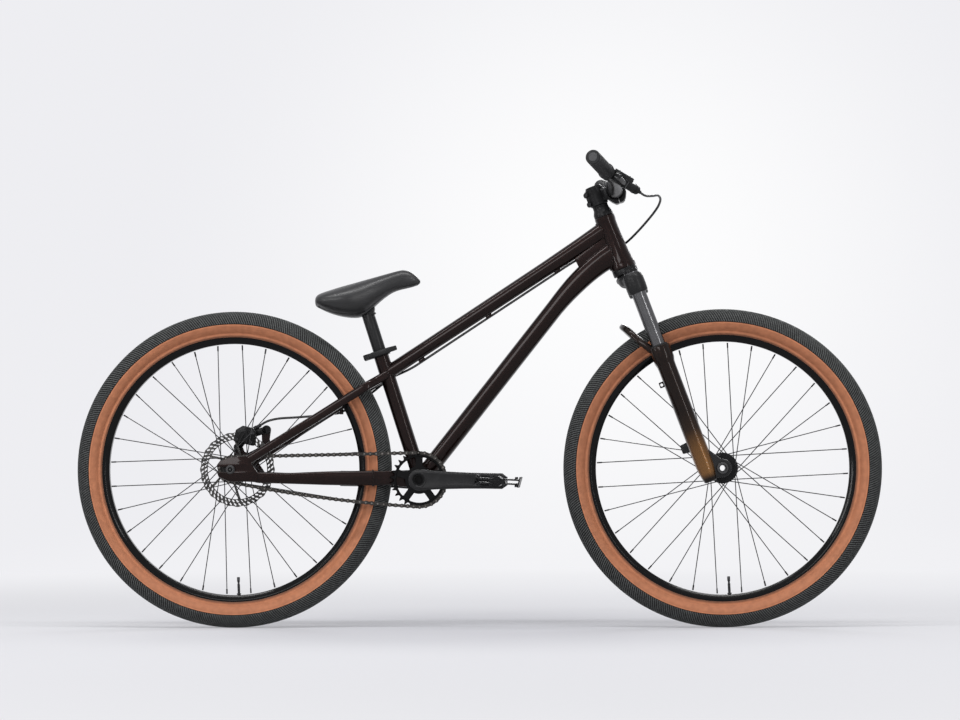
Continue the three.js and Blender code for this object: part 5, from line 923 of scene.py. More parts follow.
def add_hub(end, place, half, span, barrel, bore):
    """Hub shell with two flanges, its spokes and their nipples."""
    place = turned_wheel(end, place)
    side, flange = span / 2, 5.4 / 2
    edge = 32.5 if end == "front" else 29
    half_profile = [(barrel, 0), (barrel, side - 9), (18, side - flange - 1), (edge - 1.8, side - flange),
                    (edge, side - flange * 0.4), (edge, side + flange * 0.4), (edge - 1.8, side + flange),
                    (19, side + flange), (17.5, side + 5), (15.6, side + 8), (15.15, half - 6)]
    tip = [(15.15, half - 1), (14.2, half), (bore, half), (bore, 0)]
    upper = half_profile + tip
    lower = [(r, -y) for r, y in reversed(upper)]
    profile = lower[1:] + upper[1:-1]
    shell = lathe(profile, 56)
    add_piece(end + "_hub", end + "_wheel", place @ SIDE_ON, (shell, "black_metal"), crease=30)
    lines, nipples, heads = [], [], []
    for i in range(SPOKES):
        wall = -1 if i % 2 == 0 else 1
        forward = 1 if i % 4 < 2 else -1
        rim_angle = -pi / 2 + (i + 0.5) * TURN / SPOKES
        hub_angle = rim_angle + forward * SPOKES_ROUND * TURN / SPOKES
        stagger = forward * 1.35
        hub_end = Vector((HOLES_RADIUS * cos(hub_angle), wall * side + stagger,
                          HOLES_RADIUS * sin(hub_angle)))
        rim_end = Vector((SEATS_RADIUS * cos(rim_angle), wall * 2.6 + stagger * 0.2,
                          SEATS_RADIUS * sin(rim_angle)))
        near_hub = Vector((hub_end.x, wall * side + forward * 3.4, hub_end.z))
        through = Vector((hub_end.x, wall * side - forward * 3.2, hub_end.z))
        along_spoke = (rim_end - near_hub).normalized()
        lines.append([place @ through, place @ near_hub, place @ (near_hub + along_spoke * 2),
                      place @ rim_end])
        nipples.append([place @ (rim_end - along_spoke * 9), place @ (rim_end + along_spoke * 1.5)])
        heads.append([place @ (through - Vector((0, -forward * 0.8, 0))), place @ through])
    add_wires(end + "_spokes", end + "_wheel", lines, 1.0, "spoke_steel")
    add_wires(end + "_nipples", end + "_wheel", nipples, 1.75, "spoke_steel", 6)
    add_wires(end + "_spoke_heads", end + "_wheel", heads, 1.8, "spoke_steel", 8)


for end, place, half, span, barrel, bore in WHEELS:
    add_tyre(end, place)
    add_rim(end, place)
    add_inner_tube(end, place)
    add_hub(end, place, half, span, barrel, bore)


# Drive

CHAIN_Y, PITCH, RING_TEETH, COG_TEETH, LINKS = -47, 12.7, 28, 13, 83
ring_radius = PITCH / 2 / sin(pi / RING_TEETH)
cog_radius = PITCH / 2 / sin(pi / COG_TEETH)
stay = BRACKET - REAR.translation
run_slope = atan2(stay.z, stay.x)
run_lean = asin((ring_radius - cog_radius) / stay.length)
straight = stay.length * cos(run_lean)
ring_count = (pi + 2 * run_lean) / TURN * RING_TEETH
cog_count = (pi - 2 * run_lean) / TURN * COG_TEETH
upper_count = straight / PITCH
lower_count = LINKS - ring_count - cog_count - upper_count
sag = sqrt(3 * straight * (lower_count * PITCH - straight) / 8)
ring_start = run_slope + pi / 2 + run_lean
cog_start = run_slope - pi / 2 - run_lean


def chain_point(count):
    """The chain's middle line, from the top of the chainring forward and round."""
    def on(centre, radius, angle):
        return centre + Vector((radius * cos(angle), 0, radius * sin(angle)))
    count %= LINKS
    rear = REAR.translation
    if count < ring_count:
        return on(BRACKET, ring_radius, ring_start - count * TURN / RING_TEETH)
    count -= ring_count
    if count < lower_count:
        s = count / lower_count
        low = on(BRACKET, ring_radius, cog_start).lerp(on(rear, cog_radius, cog_start), s)
        return low - Vector((0, 0, 4 * sag * s * (1 - s)))
    count -= lower_count
    if count < cog_count:
        return on(rear, cog_radius, cog_start - count * TURN / COG_TEETH)
    s = (count - cog_count) / upper_count
    return on(rear, cog_radius, ring_start).lerp(on(BRACKET, ring_radius, ring_start), s)


def link_plate(inner, end_radius=4.4, waist=2.9):
    """A side plate with two round ends and a waist, standing at one side of the chain."""
    half = PITCH / 2
    outline = (arc(end_radius, -125, 125, 7, half) + [(0, waist)]
               + arc(end_radius, 55, 305, 7, -half) + [(0, -waist)])
    return plate(outline, inner, inner + 1.0, 0.2)


def add_chain():
    half = PITCH / 2
    outer = link_plate(3.1).at(SIDE_ON).both_sides()
    inner = link_plate(1.95, 4.1).at(SIDE_ON).both_sides()
    for x in (-half, half):
        inner = inner + rod((x, -1.9, 0), (x, 1.9, 0), 3.9, 12, 0.2)
    pin = rod((-half, -4.6, 0), (-half, 4.6, 0), 1.9, 10, 0.4)
    outer_places, inner_places = [], []
    for i in range(LINKS):
        here, there = chain_point(i), chain_point(i + 1)
        middle = (here + there) / 2 + Vector((0, CHAIN_Y, 0))
        run = (there - here).normalized()
        place = axes(middle, run, ACROSS, run.cross(ACROSS))
        (inner_places if i % 2 else outer_places).append(place)
    made = add_units("chain_outer_links", "frame", outer, outer_places, "chain_steel")
    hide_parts("chain")
    add_units("chain_inner_links", "frame", inner, inner_places, "chain_steel")
    add_units("chain_pins", "frame", pin, outer_places + inner_places, "pin_steel")


def toothed(teeth, radius, phase):
    """A sprocket's edge: a seat for each roller, and a tooth that rises between them."""
    seat, tip, samples = 3.95, 3.9, 12
    half = PITCH / 2
    outline = []
    for tooth in range(teeth):
        for sample in range(samples):
            u = sample / samples - 0.5
            away = half - abs(u) * PITCH
            if away < seat * 0.92:
                reach = radius - sqrt(seat ** 2 - away ** 2) * 0.98
            else:
                rise = (away - seat * 0.92) / (half - seat * 0.92)
                reach = radius - seat * 0.38 + (tip + seat * 0.38) * min(1, rise * 1.25) ** 0.8
            angle = phase + (tooth + u) * TURN / teeth
            outline.append(polar(reach, angle))
    return outline


def windows(count, arm_width, inner, outer, phase, slant=0.0, ease=2.5, steps=8):
    """Openings between the arms of a disc."""
    holes = []
    for i in range(count):
        start, end = phase + TURN * i / count, phase + TURN * (i + 1) / count
        near, far = asin(arm_width / 2 / inner), asin(arm_width / 2 / outer)
        points = []
        for radius, a, b in ((outer, start + far + slant, end - far + slant),
                             (inner, end - near, start + near)):
            for step in range(steps + 1):
                points.append(polar(radius, a + (b - a) * step / steps))
        corners = [ease if k in (0, steps, steps + 1, 2 * steps + 1) else 0 for k in range(len(points))]
        holes.append(eased(points, corners))
    return holes


def add_sprockets():
    phase = ring_start - pi / RING_TEETH + radians(1)
    holes = [circle(14, 32)] + windows(5, 15, 29.5, 47.8, radians(19), ease=4)
    ring = plate(toothed(RING_TEETH, ring_radius, phase), CHAIN_Y - 1.2, CHAIN_Y + 1.2, 0.35, holes)
    raised = plate(circle(51.5, 72), CHAIN_Y - 2.3, CHAIN_Y - 1.0, 0.7, [circle(48.4, 72)])
    add_piece("chainring", "cranks", CRANKS @ SIDE_ON, (ring + raised, "gloss_black"), crease=28)
    first = ceil(ring_count + lower_count) - ring_count - lower_count + 0.5
    phase = cog_start - first * TURN / COG_TEETH
    cog = plate(toothed(COG_TEETH, cog_radius, phase), CHAIN_Y - 1.2, CHAIN_Y + 1.2, 0.35,
                [circle(16.4, 32)])
    add_piece("rear_cog", "rear_sprocket", REAR @ SIDE_ON, (cog, "bare_teeth"), crease=28)


def crank_arm(boss_face):
    """Forged arm leaning outward to the pedal, with a chamfered boss; it reaches towards -Y."""
    big, small, length, thick, inner, flare = 22, 17, 170, 14, 54, 15
    tangent = acos((big - small) / length)
    degrees = tangent * 180 / pi
    edge = [(52, 18.6), (100, 17.0), (140, 16.4), (length + 6, 16.4), (length + small, 8.5)]
    outline = arc(big, degrees, 360 - degrees, 28)
    outline += [(x, -y) for x, y in edge] + edge[::-1]
    arm = plate(outline, inner, inner + thick, 3.4, [circle(12.4, 48), circle(4.9, 24, length)], 4)
    boss = lathe([(12.3, inner - 0.5), (12.3, boss_face), (18.6, boss_face), (19.6, boss_face + 1),
                  (19.6, inner + 2)], 48)
    outer = inner + thick
    ring = lathe([(12.0, outer - 4), (16.4, outer - 4), (16.4, outer + 0.2), (15.6, outer + 0.9),
                  (14.2, outer + 0.9), (12.7, outer + 0.1), (12.0, outer - 1.4)], 48)
    eye = lathe([(5.2, outer - 1), (9.6, outer - 1), (9.6, outer + 0.25), (9.0, outer + 0.6),
                 (5.8, outer + 0.6)], 32).moved(length, 0, 0)
    form = arm + boss + ring + eye

    def flared(p):
        return Vector((p.x, p.y - flare * max(0, p.x) / length, p.z))

    return form.at(SIDE_ON).at(MIRROR).bent(flared)


def add_cranks():
    # Painted shade: a near-black disc in the boss's hole and a near-black bolt on it stand for the shade in
    # the recess
    recess_shade_disc = rod((0, -58, 0), (0, -60.5, 0), 12, 40, 0.3)
    bolt = socket_screw(along((0, -60.4, 0), (0, -70, 0)), 8, 0.8, 4.2)
    right = crank_arm(48.8)
    left = crank_arm(44)
    turned = CRANKS @ HALF_TURN @ MIRROR
    for side, place, form in (("right", CRANKS, right), ("left", turned, left)):
        add_piece("crank_arm_" + side, "cranks", place, (form, "black_forged"),
                  (recess_shade_disc, "painted_recess_shade"), (bolt, "painted_recess_shade"), crease=40)
    cup_outline, corners = [], 64
    for i in range(corners):
        reach = 20.4 if i % 4 in (1, 2) else 21.5
        cup_outline.append(polar(reach, TURN * i / corners))
    cup = plate(cup_outline, 34.3, 41.2, 0.5, [circle(12.6, 32)])
    lip = lathe([(12.6, 41), (19, 41), (18.4, 42.8), (12.6, 43)], 48)
    for side, place in SIDES:
        form = (cup + lip).at(lean(BRACKET, 0) @ place @ SIDE_ON)
        add_piece("bottom_bracket_cup_" + side, "frame", HERE, (form, "black_metal"))


def pedal(place):
    """Platform with toothed front and back plates and pins; it reaches towards -Y."""
    near, width, height, rail, corner = 87.8, 98, 12, 6, 9
    start, end = near, near + width
    outline = eased([(-45, start), (45, start), (45, end), (-45, end)], corner, 4)
    holes = []
    for side in (-1, 1):
        x0, x1 = side * 16, side * (45 - rail)
        for y0, y1 in ((start + rail, start + width / 2 - 3), (start + width / 2 + 3, end - rail)):
            holes.append(eased([(x0, y0), (x1, y0), (x1, y1), (x0, y1)], 5, 3))
    skin = plate(outline, height / 2 - 3.4, height / 2, 1.0, holes, 2)
    middle = block((32, width - 0.6, height - 0.4), 1.6, shifted(0, near + width / 2, 0))
    cage = (skin + skin.at(HALF_TURN) + middle).at(MIRROR)
    barrel = rod((0, -start + 1, 0), (0, -end + 0.5, 0), 10.5, 32, 1.5)
    teeth = 7
    step = width / teeth
    edge = []
    for side in (1, -1):
        for i in range(teeth):
            y = -width / 2 + i * step
            edge += [(side * y, side * height / 2), (side * (y + step * 0.3), side * 11.3),
                     (side * (y + step * 0.7), side * 11.3)]
        edge.append((side * width / 2, side * height / 2))
    claw = plate(eased(edge, 0.8, 1), -1.3, 1.3, 0.35)
    upright = axes((0, -(start + width / 2), 0), (0, 1, 0), (0, 0, 1), (1, 0, 0))
    claws = Form()
    for ahead in (45.0, -45.0):
        slanted = shifted(ahead, 0, 0) @ Matrix.Rotation(radians(12), 4, "Y")
        claws = claws + claw.at(slanted @ upright)
    cap = lathe([(0, end - 0.6), (9.4, end - 0.6), (9.4, end), (7.6, end), (7.2, end - 0.45),
                 (0, end - 0.45)], 32)
    return (cage + barrel + claws + cap.at(SIDE_ON).at(MIRROR)).at(place)


def pedal_pins(place):
    places = []
    for x in (-38, -14, 14, 38):
        for y in (-95, -115, -137, -158, -178):
            for side in (1, -1):
                if abs(x) > 20 or y in (-95, -137, -178):
                    spot = shifted(x, y, side * 5.8)
                    places.append(place @ spot @ (HERE if side > 0 else Matrix.Rotation(pi, 4, "X")))
    return places


def add_pedals():
    pin = lathe([(0, 0), (1.9, 0), (1.9, 0.8), (1.5, 1.2), (1.5, 4.2), (1.2, 4.6), (0, 4.6)], 10)
    level = Matrix.Rotation(radians(-5), 4, "Y")
    for side, place in (("right", RIGHT_PEDAL @ level), ("left", LEFT_PEDAL @ MIRROR)):
        add_piece("pedal_" + side, side + "_pedal", HERE, (pedal(place), "black_metal"))
        add_units("pedal_pins_" + side, side + "_pedal", pin, pedal_pins(place), "bolt_steel")
        shoulder = rod((0, -84.9, 0), (0, -87.4, 0), 7.2, 28, 0.4)
        axle = rod((0, -69, 0), (0, -176.8, 0), 4.6, 20, 0.4) + shoulder
        add_piece("pedal_axle_" + side, "cranks", place, (axle, "bolt_steel"))


add_chain()
add_sprockets()
add_cranks()
add_pedals()


# Frame

# The two screw holes of the brake mount, along X and Z
BRAKE_HOLES = ((-514.5, 381), (-453.5, 418.5))


def head_radius(height):
    """The head tube's outer radius at a height along the steering axis."""
    table = ((466, 27), (476, 27), (485.75, 24.84), (515, 22.2), (553.75, 20.5), (568, 20.5),
             (573, 21.5), (583, 21.5))
    return between(table, height)


def between(table, value):
    if value <= table[0][0]:
        return table[0][1]
    for (x0, y0), (x1, y1) in zip(table, table[1:]):
        if value <= x1:
            t = (value - x0) / (x1 - x0)
            return y0 + (y1 - y0) * t
    return table[-1][1]


in_head = in_round(STEERING, head_radius)
in_seat = in_round(SEAT, 16.0)
in_shell = in_round(axes(BRACKET, (1, 0, 0), (0, 0, -1), (0, 1, 0)), 20.5)


def add_frame_tubes():
    profile = [(20.2, 466), (26.2, 466), (27, 466.8), (27, 475.4), (26.4, 477.2), (24.84, 485.75),
               (23.2, 499), (21.9, 519), (21.0, 538), (20.5, 553.75), (20.5, 568), (21.3, 572.6),
               (21.5, 573.4), (21.5, 582.2), (20.8, 583), (17.9, 583)]
    head = lathe(profile, 72).at(STEERING)
    add_piece("head_tube", "frame", HERE, (head, "frame_paint"))

    start, end = Vector((-191.3, 0, 535.8)), Vector((278, 0, 841))
    heights = ((0, 29), (0.2, 29), (0.72, 31.5), (0.88, 35.1), (1, 39))
    shares = [0] + [0.09 + 0.8 * i / 26 for i in range(27)] + [1]
    stations = [(*start.lerp(end, s), 32, between(heights, s)) for s in shares]
    top = welded(stations, 2.2, 56, in_seat, in_head)
    run = (end - start).normalized()
    down = run.cross(ACROSS)
    guides = Form()
    for share in (0.75, 0.4415, 0.139):
        middle = start.lerp(end, share)
        under = middle + down * (17.2 if down.z < 0 else -17.2)
        guides = guides + block((15, 8.5, 6), 1.2, axes(under, run, ACROSS, down))
    add_piece("top_tube", "frame", HERE, (top + guides, "frame_paint"), crease=45)

    bend = Vector((164.1, 0, 671.6))
    stations = [(*BRACKET, 40, 37)]
    stations += [(*BRACKET.lerp(bend, s / 14), 40, 37) for s in range(2, 15)]
    control, end = Vector((229.7, 0, 754.9)), Vector((296.7, 0, 791.4))
    for i in range(1, 9):
        s = i / 10
        point = bend * (1 - s) ** 2 + control * 2 * s * (1 - s) + end * s * s
        stations.append((*point, 40, 37 + 16 * (0.25 * min(1, s * 3) + 0.75 * s ** 1.6)))
    stations.append((*end, 40, 53))
    down_tube = welded(stations, 2.6, 56, in_shell, in_head)
    add_piece("down_tube", "frame", HERE, (down_tube, "frame_paint"), crease=45)

    stations = [(*(SEAT @ Vector((0, 0, h))), 31.8, 31.8) for h in (0, 45, 100, 160, 220, 270, 286.2, 287)]
    stations[-1] = (*(SEAT @ Vector((0, 0, 287))), 30.6, 30.6)
    rings = strut_rings(stations, 2, 48)
    rings[0] = seated(rings[0], -SEAT.to_3x3().col[2], in_shell)
    weld_loops.append([point + SEAT.to_3x3().col[2] * 0.4 for point in rings[0]])
    add_piece("seat_tube", "frame", HERE, (loft(rings), "frame_paint"), crease=45)

    shell = collar(18.3, 20.5, -34, 34, 0.8, 64)
    add_piece("bottom_bracket_shell", "frame", lean(BRACKET, 0) @ SIDE_ON, (shell, "frame_paint"))


# Stations of the left stays: x, y, z, width and height
STAY_LOW = [(-217.6, 44, 315.2, 16, 32), (-198.4, 40.25, 315.2, 12, 30), (-179.1, 36.5, 315.2, 7.5, 30),
            (-146.6, 30.2, 311.6, 7, 30), (-122.5, 30.2, 311.2, 7, 29)]
CHAINSTAY = [(-214, 43.6, 315.2, 16, 31.5), (-265.8, 45.5, 315.2, 16, 30.6), (-313.8, 47.5, 315.2, 16, 29),
             (-355, 51.5, 315.2, 15, 26), (-397.9, 56.5, 315.2, 14, 23), (-440, 61.5, 316.6, 14, 23),
             (-457.7, 63.4, 317.2, 13.6, 23), (-471.5, 68.5, 319.2, 8.4, 18.4)]
# Way along the seatstay, and its distance from the middle plane
SEATSTAY = ((0, 8.6), (25.4, 23.85), (46.1, 40), (66.8, 43), (120, 44.2), (184.6, 46.2), (275.2, 60),
            (335.6, 64), (349.1, 68.5))


def seatstay_point(run, y):
    return Vector((-190.6 - 0.8480 * run, y, 533.3 - 0.5299 * run))


def add_stays():
    cheek = strut(smooth(STAY_LOW, 6), 4.2, 40)
    bridge_rings = []
    for y in range(-33, 34, 3):
        hollow = 14 * max(0, 1 - (y / 31) ** 2) ** 0.6
        front, back = -129.5, -160.6 + hollow * 0.55
        middle, depth = (front + back) / 2, front - back
        bridge_rings.append([Vector((middle + a, y, 311.2 + b)) for a, b in squircle(depth, 24, 4, 32)])
    bridge = loft(bridge_rings)
    add_piece("chainstay_yoke", "frame", HERE, (cheek.both_sides() + bridge, "frame_paint"), crease=40)
    weld_loops.append(strut_rings([STAY_LOW[1], STAY_LOW[0]], 4, 40)[1])
    weld_loops.append([MIRROR @ p for p in weld_loops[-1]])
    chainstay = strut(smooth(CHAINSTAY, 5), 2.6, 40)
    stations = [(*seatstay_point(run, y), 16, 18.4) for run, y in SEATSTAY[:-1]]
    stations.append((*seatstay_point(*SEATSTAY[-1]), 8.4, 15))
    seatstay = strut(smooth(stations, 6), 3.4, 40)
    guide = block((8, 10, 14.4), 1.2, shifted(-292, 50, 457.5))
    for side, place in SIDES:
        add_piece("chainstay_" + side, "frame", place, (chainstay, "frame_paint"), crease=40)
        form = seatstay + guide if side == "left" else seatstay.at(MIRROR)
        add_piece("seatstay_" + side, "frame", HERE, (form, "frame_paint"), crease=40)
    for _, place in SIDES:
        loop = []
        for j in range(40):
            a = TURN * j / 40
            loop.append(place @ (seatstay_point(0, 8.6) + Vector((3, 7.6 * cos(a), 10.4 * sin(a)))))
        weld_loops.append(loop)


def add_dropouts():
    """Plates with a long slot for the axle; the left one carries the brake's two tabs."""
    outline = [(56.4, -27), (56.4, -5.4), (44.2, 13.35), (34.4, 28.95), (0, 25.65), (-23, 17), (-28.6, 9.3),
               (-28.6, 5.25), (10, 5.25), (10, -5.25), (-28.6, -5.25), (-25, -15.5), (0, -25.65),
               (33.8, -25.65)]
    ease = [1, 6, 8, 2, 14, 6, 2, 1.2, 5, 5, 1.2, 5, 14, 10]
    form = plate(eased(outline, ease, 5), 67.5, 73.5, 1.0, steps=2)
    slotted = form.at(REAR @ SIDE_ON)
    for side, place in SIDES:
        parts = slotted
        if side == "left":
            low_hole, high_hole = BRAKE_HOLES
            mount = [(-524, 352.4)] + arc(9.5, 195, 10, 12, *low_hole)
            mount += eased([(-501, 372), (-494, 369), (-474, 379), (-463.5, 392), (-464, 405)], 5, 4,
                           closed=False)
            mount += arc(9.5, 195, 0, 12, *high_hole)
            mount += [(-447, 398), (-441, 378), (-470, 356), (-495, 347)]
            drilled = [circle(3.1, 20, *hole) for hole in BRAKE_HOLES]
            parts = parts + plate(mount, 60, 66, 0.8, drilled).at(SIDE_ON)
            foot = [(-522, 346), (-522, 358), (-494, 356), (-470, 368), (-463, 358), (-495, 343)]
            parts = parts + plate(foot, 61, 72.6, 0.8).at(SIDE_ON)
        add_piece("dropout_" + side, "frame", place, (parts, "frame_paint"))


def add_welds():
    inputs = {"Spacing": 1.7 * MM, "Radius": 1.9 * MM, "Finish": FINISHES["frame_paint"][0]}
    mesh = grown("frame_welds", BEADS, guide_lines("weld", weld_loops, True), inputs)
    place_mesh("frame_welds", mesh, "frame", crease=60)


def add_gusset():
    """Web that closes the corner between top tube, down tube and head tube."""
    corner = eased([(206, 776), (215, 758), (245, 765), (285, 800), (285, 830), (245, 803)],
                   [2, 2, 0, 0, 0, 0], 4)
    web = plate(corner, -13, -3, 1.5, steps=3).at(SIDE_ON)
    add_piece("head_gusset", "frame", HERE, (web, "frame_paint"), stands_for=[])


add_frame_tubes()
add_gusset()
add_stays()
add_dropouts()
add_welds()


# Headset and fork

# Where the left leg's axis stands in the steering frame
LEG_X, LEG_Y = 10, 65


def add_headset():
    cup = lathe([(18.9, 453.3), (25.4, 453.3), (26.6, 454.6), (26.6, 464.6), (26.0, 465.7), (18.9, 465.7)],
                64)
    inner = lathe([(18.9, 465.5), (20, 465.5), (20, 474), (18.9, 474)], 48)
    add_piece("headset_lower_bearing", "frame", STEERING, (cup + inner, "black_metal"))
    cover = lathe([(14.6, 583.3), (19.8, 583.3), (20.5, 584), (20.5, 591), (19.6, 593.4), (17.6, 598.2),
                   (16.6, 601.2), (16.6, 604.6), (16.2, 605), (16.6, 605.4), (16.6, 608.6), (16.2, 609),
                   (14.6, 609)], 64)
    add_piece("headset_top_cover", "steering", STEERING, (cover, "black_metal"))


def add_crown():
    """Forged crown: sockets for the stanchions, the arm between them and the race seat."""
    arm = [(10, -65, 426, 38, 36), (9.4, -52, 430, 39, 34), (7, -38, 437, 42, 28),
           (3.6, -24, 439.9, 49, 25.6), (2.4, -12, 443.4, 51.5, 18.6), (1.5, 0, 444.1, 53, 17.2)]
    stations = arm + [(x, -y, z, w, h) for x, y, z, w, h in reversed(arm[:-1])]
    web = strut(smooth(stations, 5), 3.2, 48, (1, 0, 0))
    seat = lathe([(15, 440), (23, 440), (23, 449), (20.4, 452.9), (15, 452.9)], 64)
    socket = lathe([(15.2, 404), (19.4, 404), (20.9, 406.4), (21.5, 420), (21.3, 434), (19.6, 443),
                    (16, 447), (15.2, 447)], 56)
    cap = lathe([(0, 449), (14.6, 449), (14.6, 454.2), (13.6, 456.6), (9.2, 457), (8.4, 455.8),
                 (0, 455.8)], 48)
    form = web + seat
    caps = Form()
    for y in (-LEG_Y, LEG_Y):
        form = form + socket.moved(LEG_X, y, 0)
        caps = caps + cap.moved(LEG_X, y, 0)
    add_piece("fork_crown", "steering", STEERING, (form, "crown_black"), (caps, "black_metal"), crease=40)
    shaft = lathe([(0, 183), (14, 183), (15, 184), (15, 449), (0, 449)], 56)
    for side, y in (("left", LEG_Y), ("right", -LEG_Y)):
        add_piece("stanchion_" + side, "steering", STEERING, (shaft.moved(LEG_X, y, 0), "chrome"))


def add_lowers():
    """Cast legs joined by an arch behind the wheel, with a ring each for the through axle."""
    outside = [(11.2, -18), (13.3, -16.8), (15.2, -8), (17.4, 4), (19, 18), (19, 240), (19.4, 246),
               (21.6, 254), (22, 257), (22, 281), (21, 284.2), (19.4, 285), (16.4, 285)]
    leg = lathe([(0, -18)] + outside + [(15.5, 284.2), (15.5, 66), (0, 66)], 56)
    seal = lathe([(15.3, 284.4), (18.6, 284.4), (18.2, 287), (15.6, 288.2), (15.2, 287)], 48)
    foot = arc(19, -108, 76, 20, 42.5, 0) + [(25.6, 52), (2.4, 57.6), (2.4, -9)]
    corners = [0] * 21 + [14, 3, 6]
    lug = plate(eased(foot, corners, 5), 55, 71, 2.4, [circle(10.4, 36, 42.5, 0)], 3).at(SIDE_ON)
    half = leg.moved(LEG_X, LEG_Y, 0)
    points = [(2.5, 60, 266), (-12, 58.5, 289), (-24, 54, 309), (-36, 40, 332), (-43, 22, 344.5),
              (-45.2, 0, 348.2)]
    points += [(x, -y, z) for x, y, z in reversed(points[:-1])]
    stations = [(*point, 15, 20.25) for point in points]
    arch = strut(smooth(stations, 5), 3.0, 32, (0.863, 0, 0.505))
    boss = plate(eased([(-24, 56.5), (10, 52.5), (10, 79.5), (-24, 75.5)], 3, 4), 48.6, 63.4, 1.4,
                 steps=2).at(SIDE_ON)
    loop = eased([(-18.6, 203.5), (-7, 203.5), (-7, 216), (-18.6, 216)], 2, 3)
    hook = plate(loop, 62.5, 67.5, 0.8, [circle(3.2, 20, -13.6, 209.7)]).at(SIDE_ON)
    seals = seal.moved(LEG_X, LEG_Y, 0).both_sides()
    add_piece("fork_lowers", "fork_slider", STEERING, (half.both_sides() + arch + hook, "fork_paint"),
              (lug.both_sides() + boss, "crown_black"), (seals, "rubber"), crease=40)
    half_axle = [(9.7, 0), (9.7, 71.3), (11.6, 71.3), (12.1, 71.9), (12.1, 74.5), (11.3, 75.3), (8, 75.3),
                 (6.6, 73.4), (6, 73), (6, 0)]
    profile = [(r, -y) for r, y in reversed(half_axle)][1:] + half_axle[1:-1]
    add_piece("front_axle", "fork_slider", FRONT @ SIDE_ON, (lathe(profile, 48), "axle_steel"))


add_headset()
add_crown()
add_lowers()


# Cockpit

BAR_X, BAR_Z = 40.6, 623.7


def add_stem():
    clamp = collar(14.6, 19, 609.3, 647, 0.7, 56)
    middle = [(12, 0, 627.5, 33, 31), (18, 0, 627, 30, 29), (25, 0, 626, 34, 28), (31, 0, 625, 43, 34)]
    beam = strut(smooth(middle, 4), 4, 40)
    back = [(41.2, BAR_Z + 26), (34, BAR_Z + 26), (27, BAR_Z + 19), (21, BAR_Z + 10), (21, BAR_Z - 10),
            (27, BAR_Z - 19), (34, BAR_Z - 26), (41.2, BAR_Z - 26)]
    mouth = eased(back, [1, 4, 5, 5, 5, 5, 4, 1], 4) + arc(16.3, -88, -272, 24, BAR_X, BAR_Z)
    holder = plate(mouth, -23, 23, 1.6, steps=2).at(SIDE_ON)
    ears = block((14, 21, 33), 2.2, shifted(-15, 0, 628.2))
    screws = Form()
    x = -20.2
    for z in (617.4, 637.9):
        ears = ears + rod((x, -11.9, z), (x, 11.9, z), 5.3, 28, 0.8)
        screws = screws + socket_screw(along((x, -11.6, z), (x, -20, z)), 3.9, 2.6, 2)
        screws = screws + rod((x, 9, z), (x, 12.2, z), 3.2, 20)
    form = clamp + beam + holder + ears
    add_piece("stem", "steering", STEERING, (form, "black_metal"), (screws, "bolt_steel"), crease=36)
    front = [(42.0, BAR_Z - 26), (50, BAR_Z - 26), (57, BAR_Z - 19), (62.4, BAR_Z - 8), (62.4, BAR_Z + 8),
             (57, BAR_Z + 19), (50, BAR_Z + 26), (42.0, BAR_Z + 26)]
    face = eased(front, [1, 4, 5, 6, 6, 5, 4, 1], 4) + arc(16.3, 85, -85, 24, BAR_X, BAR_Z)
    cap = plate(face, -23, 23, 1.6, steps=2).at(SIDE_ON)
    bolts = Form()
    for y in (-15, 15):
        for lift in (-20.6, 20.6):
            spot = along((50, y, BAR_Z + lift), (60, y, BAR_Z + lift))
            bolts = bolts + socket_screw(spot, 3.9, 3.6, 2.1)
    add_piece("stem_faceplate", "steering", STEERING, (cap, "black_metal"), (bolts, "bolt_steel"))
    disc = lathe([(0, 647.3), (17.1, 647.3), (17.1, 649.4), (16.0, 651), (7.5, 651), (6.5, 650), (0, 650)],
                 56)
    bolt = socket_screw(shifted(0, 0, 649.9), 4.6, 1.0, 2.5)
    add_piece("stem_top_cap", "steering", STEERING, (disc, "black_metal"), (bolt, "bolt_steel"))


ELBOW = Vector((0, 185, 12))
BAR_OUT = Vector((-0.1848, 0.9726, 0.1410))


def add_handlebar():
    half = [(0, 0, 0, 15.9), (0, 32, 0, 15.9), (0, 50, 0.2, 15.1), (0, 71.5, 0.96, 14.0),
            (0, 110, 5.0, 12.1), (0, 148.5, 9.6, 11.1), (-1.6, 185, 13.2, 11.1), (-9, 222, 18.0, 11.1)]
    half += [(*(ELBOW + BAR_OUT * run), 11.1) for run in (60, 100, 150, 205)]
    whole = [(x, -y, z, radius) for x, y, z, radius in reversed(half)] + half[1:]
    fine = smooth([(*row, 0) for row in whole], 5)
    form = tube([BAR + Vector(row[:3]) for row in fine], [row[3] for row in fine], 40)
    add_piece("handlebar", "steering", HERE, (form, "black_metal"))


def grip_place(side):
    start = BAR + ELBOW + BAR_OUT * 75.1
    place = along(start, start + BAR_OUT)
    return place if side > 0 else MIRROR @ place


def add_grips():
    profile = [(11.3, 0), (16.4, 0), (17.0, 0.8), (17.0, 3), (16.2, 4), (15.2, 7)]
    ribs, first, last = 32, 11, 122
    for i in range(ribs):
        start = first + (last - first) * i / ribs
        step = (last - first) / ribs
        profile += [(14.7, start), (15.3, start + step * 0.25), (15.3, start + step * 0.75),
                    (14.7, start + step)]
    profile += [(14.8, 123), (15.1, 124), (15.1, 130.8), (13.6, 133.2), (9.4, 133.2), (9.0, 132.6),
                (0, 132.6), (0, 131), (11.3, 131)]
    body = lathe(profile, 48)
    # Painted highlight: the end plug takes the lighter grey of the lever's lid, standing for the light ring
    # on the grip's end
    plug = lathe([(0, 132.4), (9, 132.4), (9, 133.1), (8.4, 133.5), (6.4, 133.5), (6, 132.9), (0, 132.9)],
                 32)
    for side, name in ((1, "left"), (-1, "right")):
        place = grip_place(side)
        add_piece("grip_" + name, "steering", place, (body, "rubber"), (plug, "grey_lid_and_plug_highlight"), crease=25)


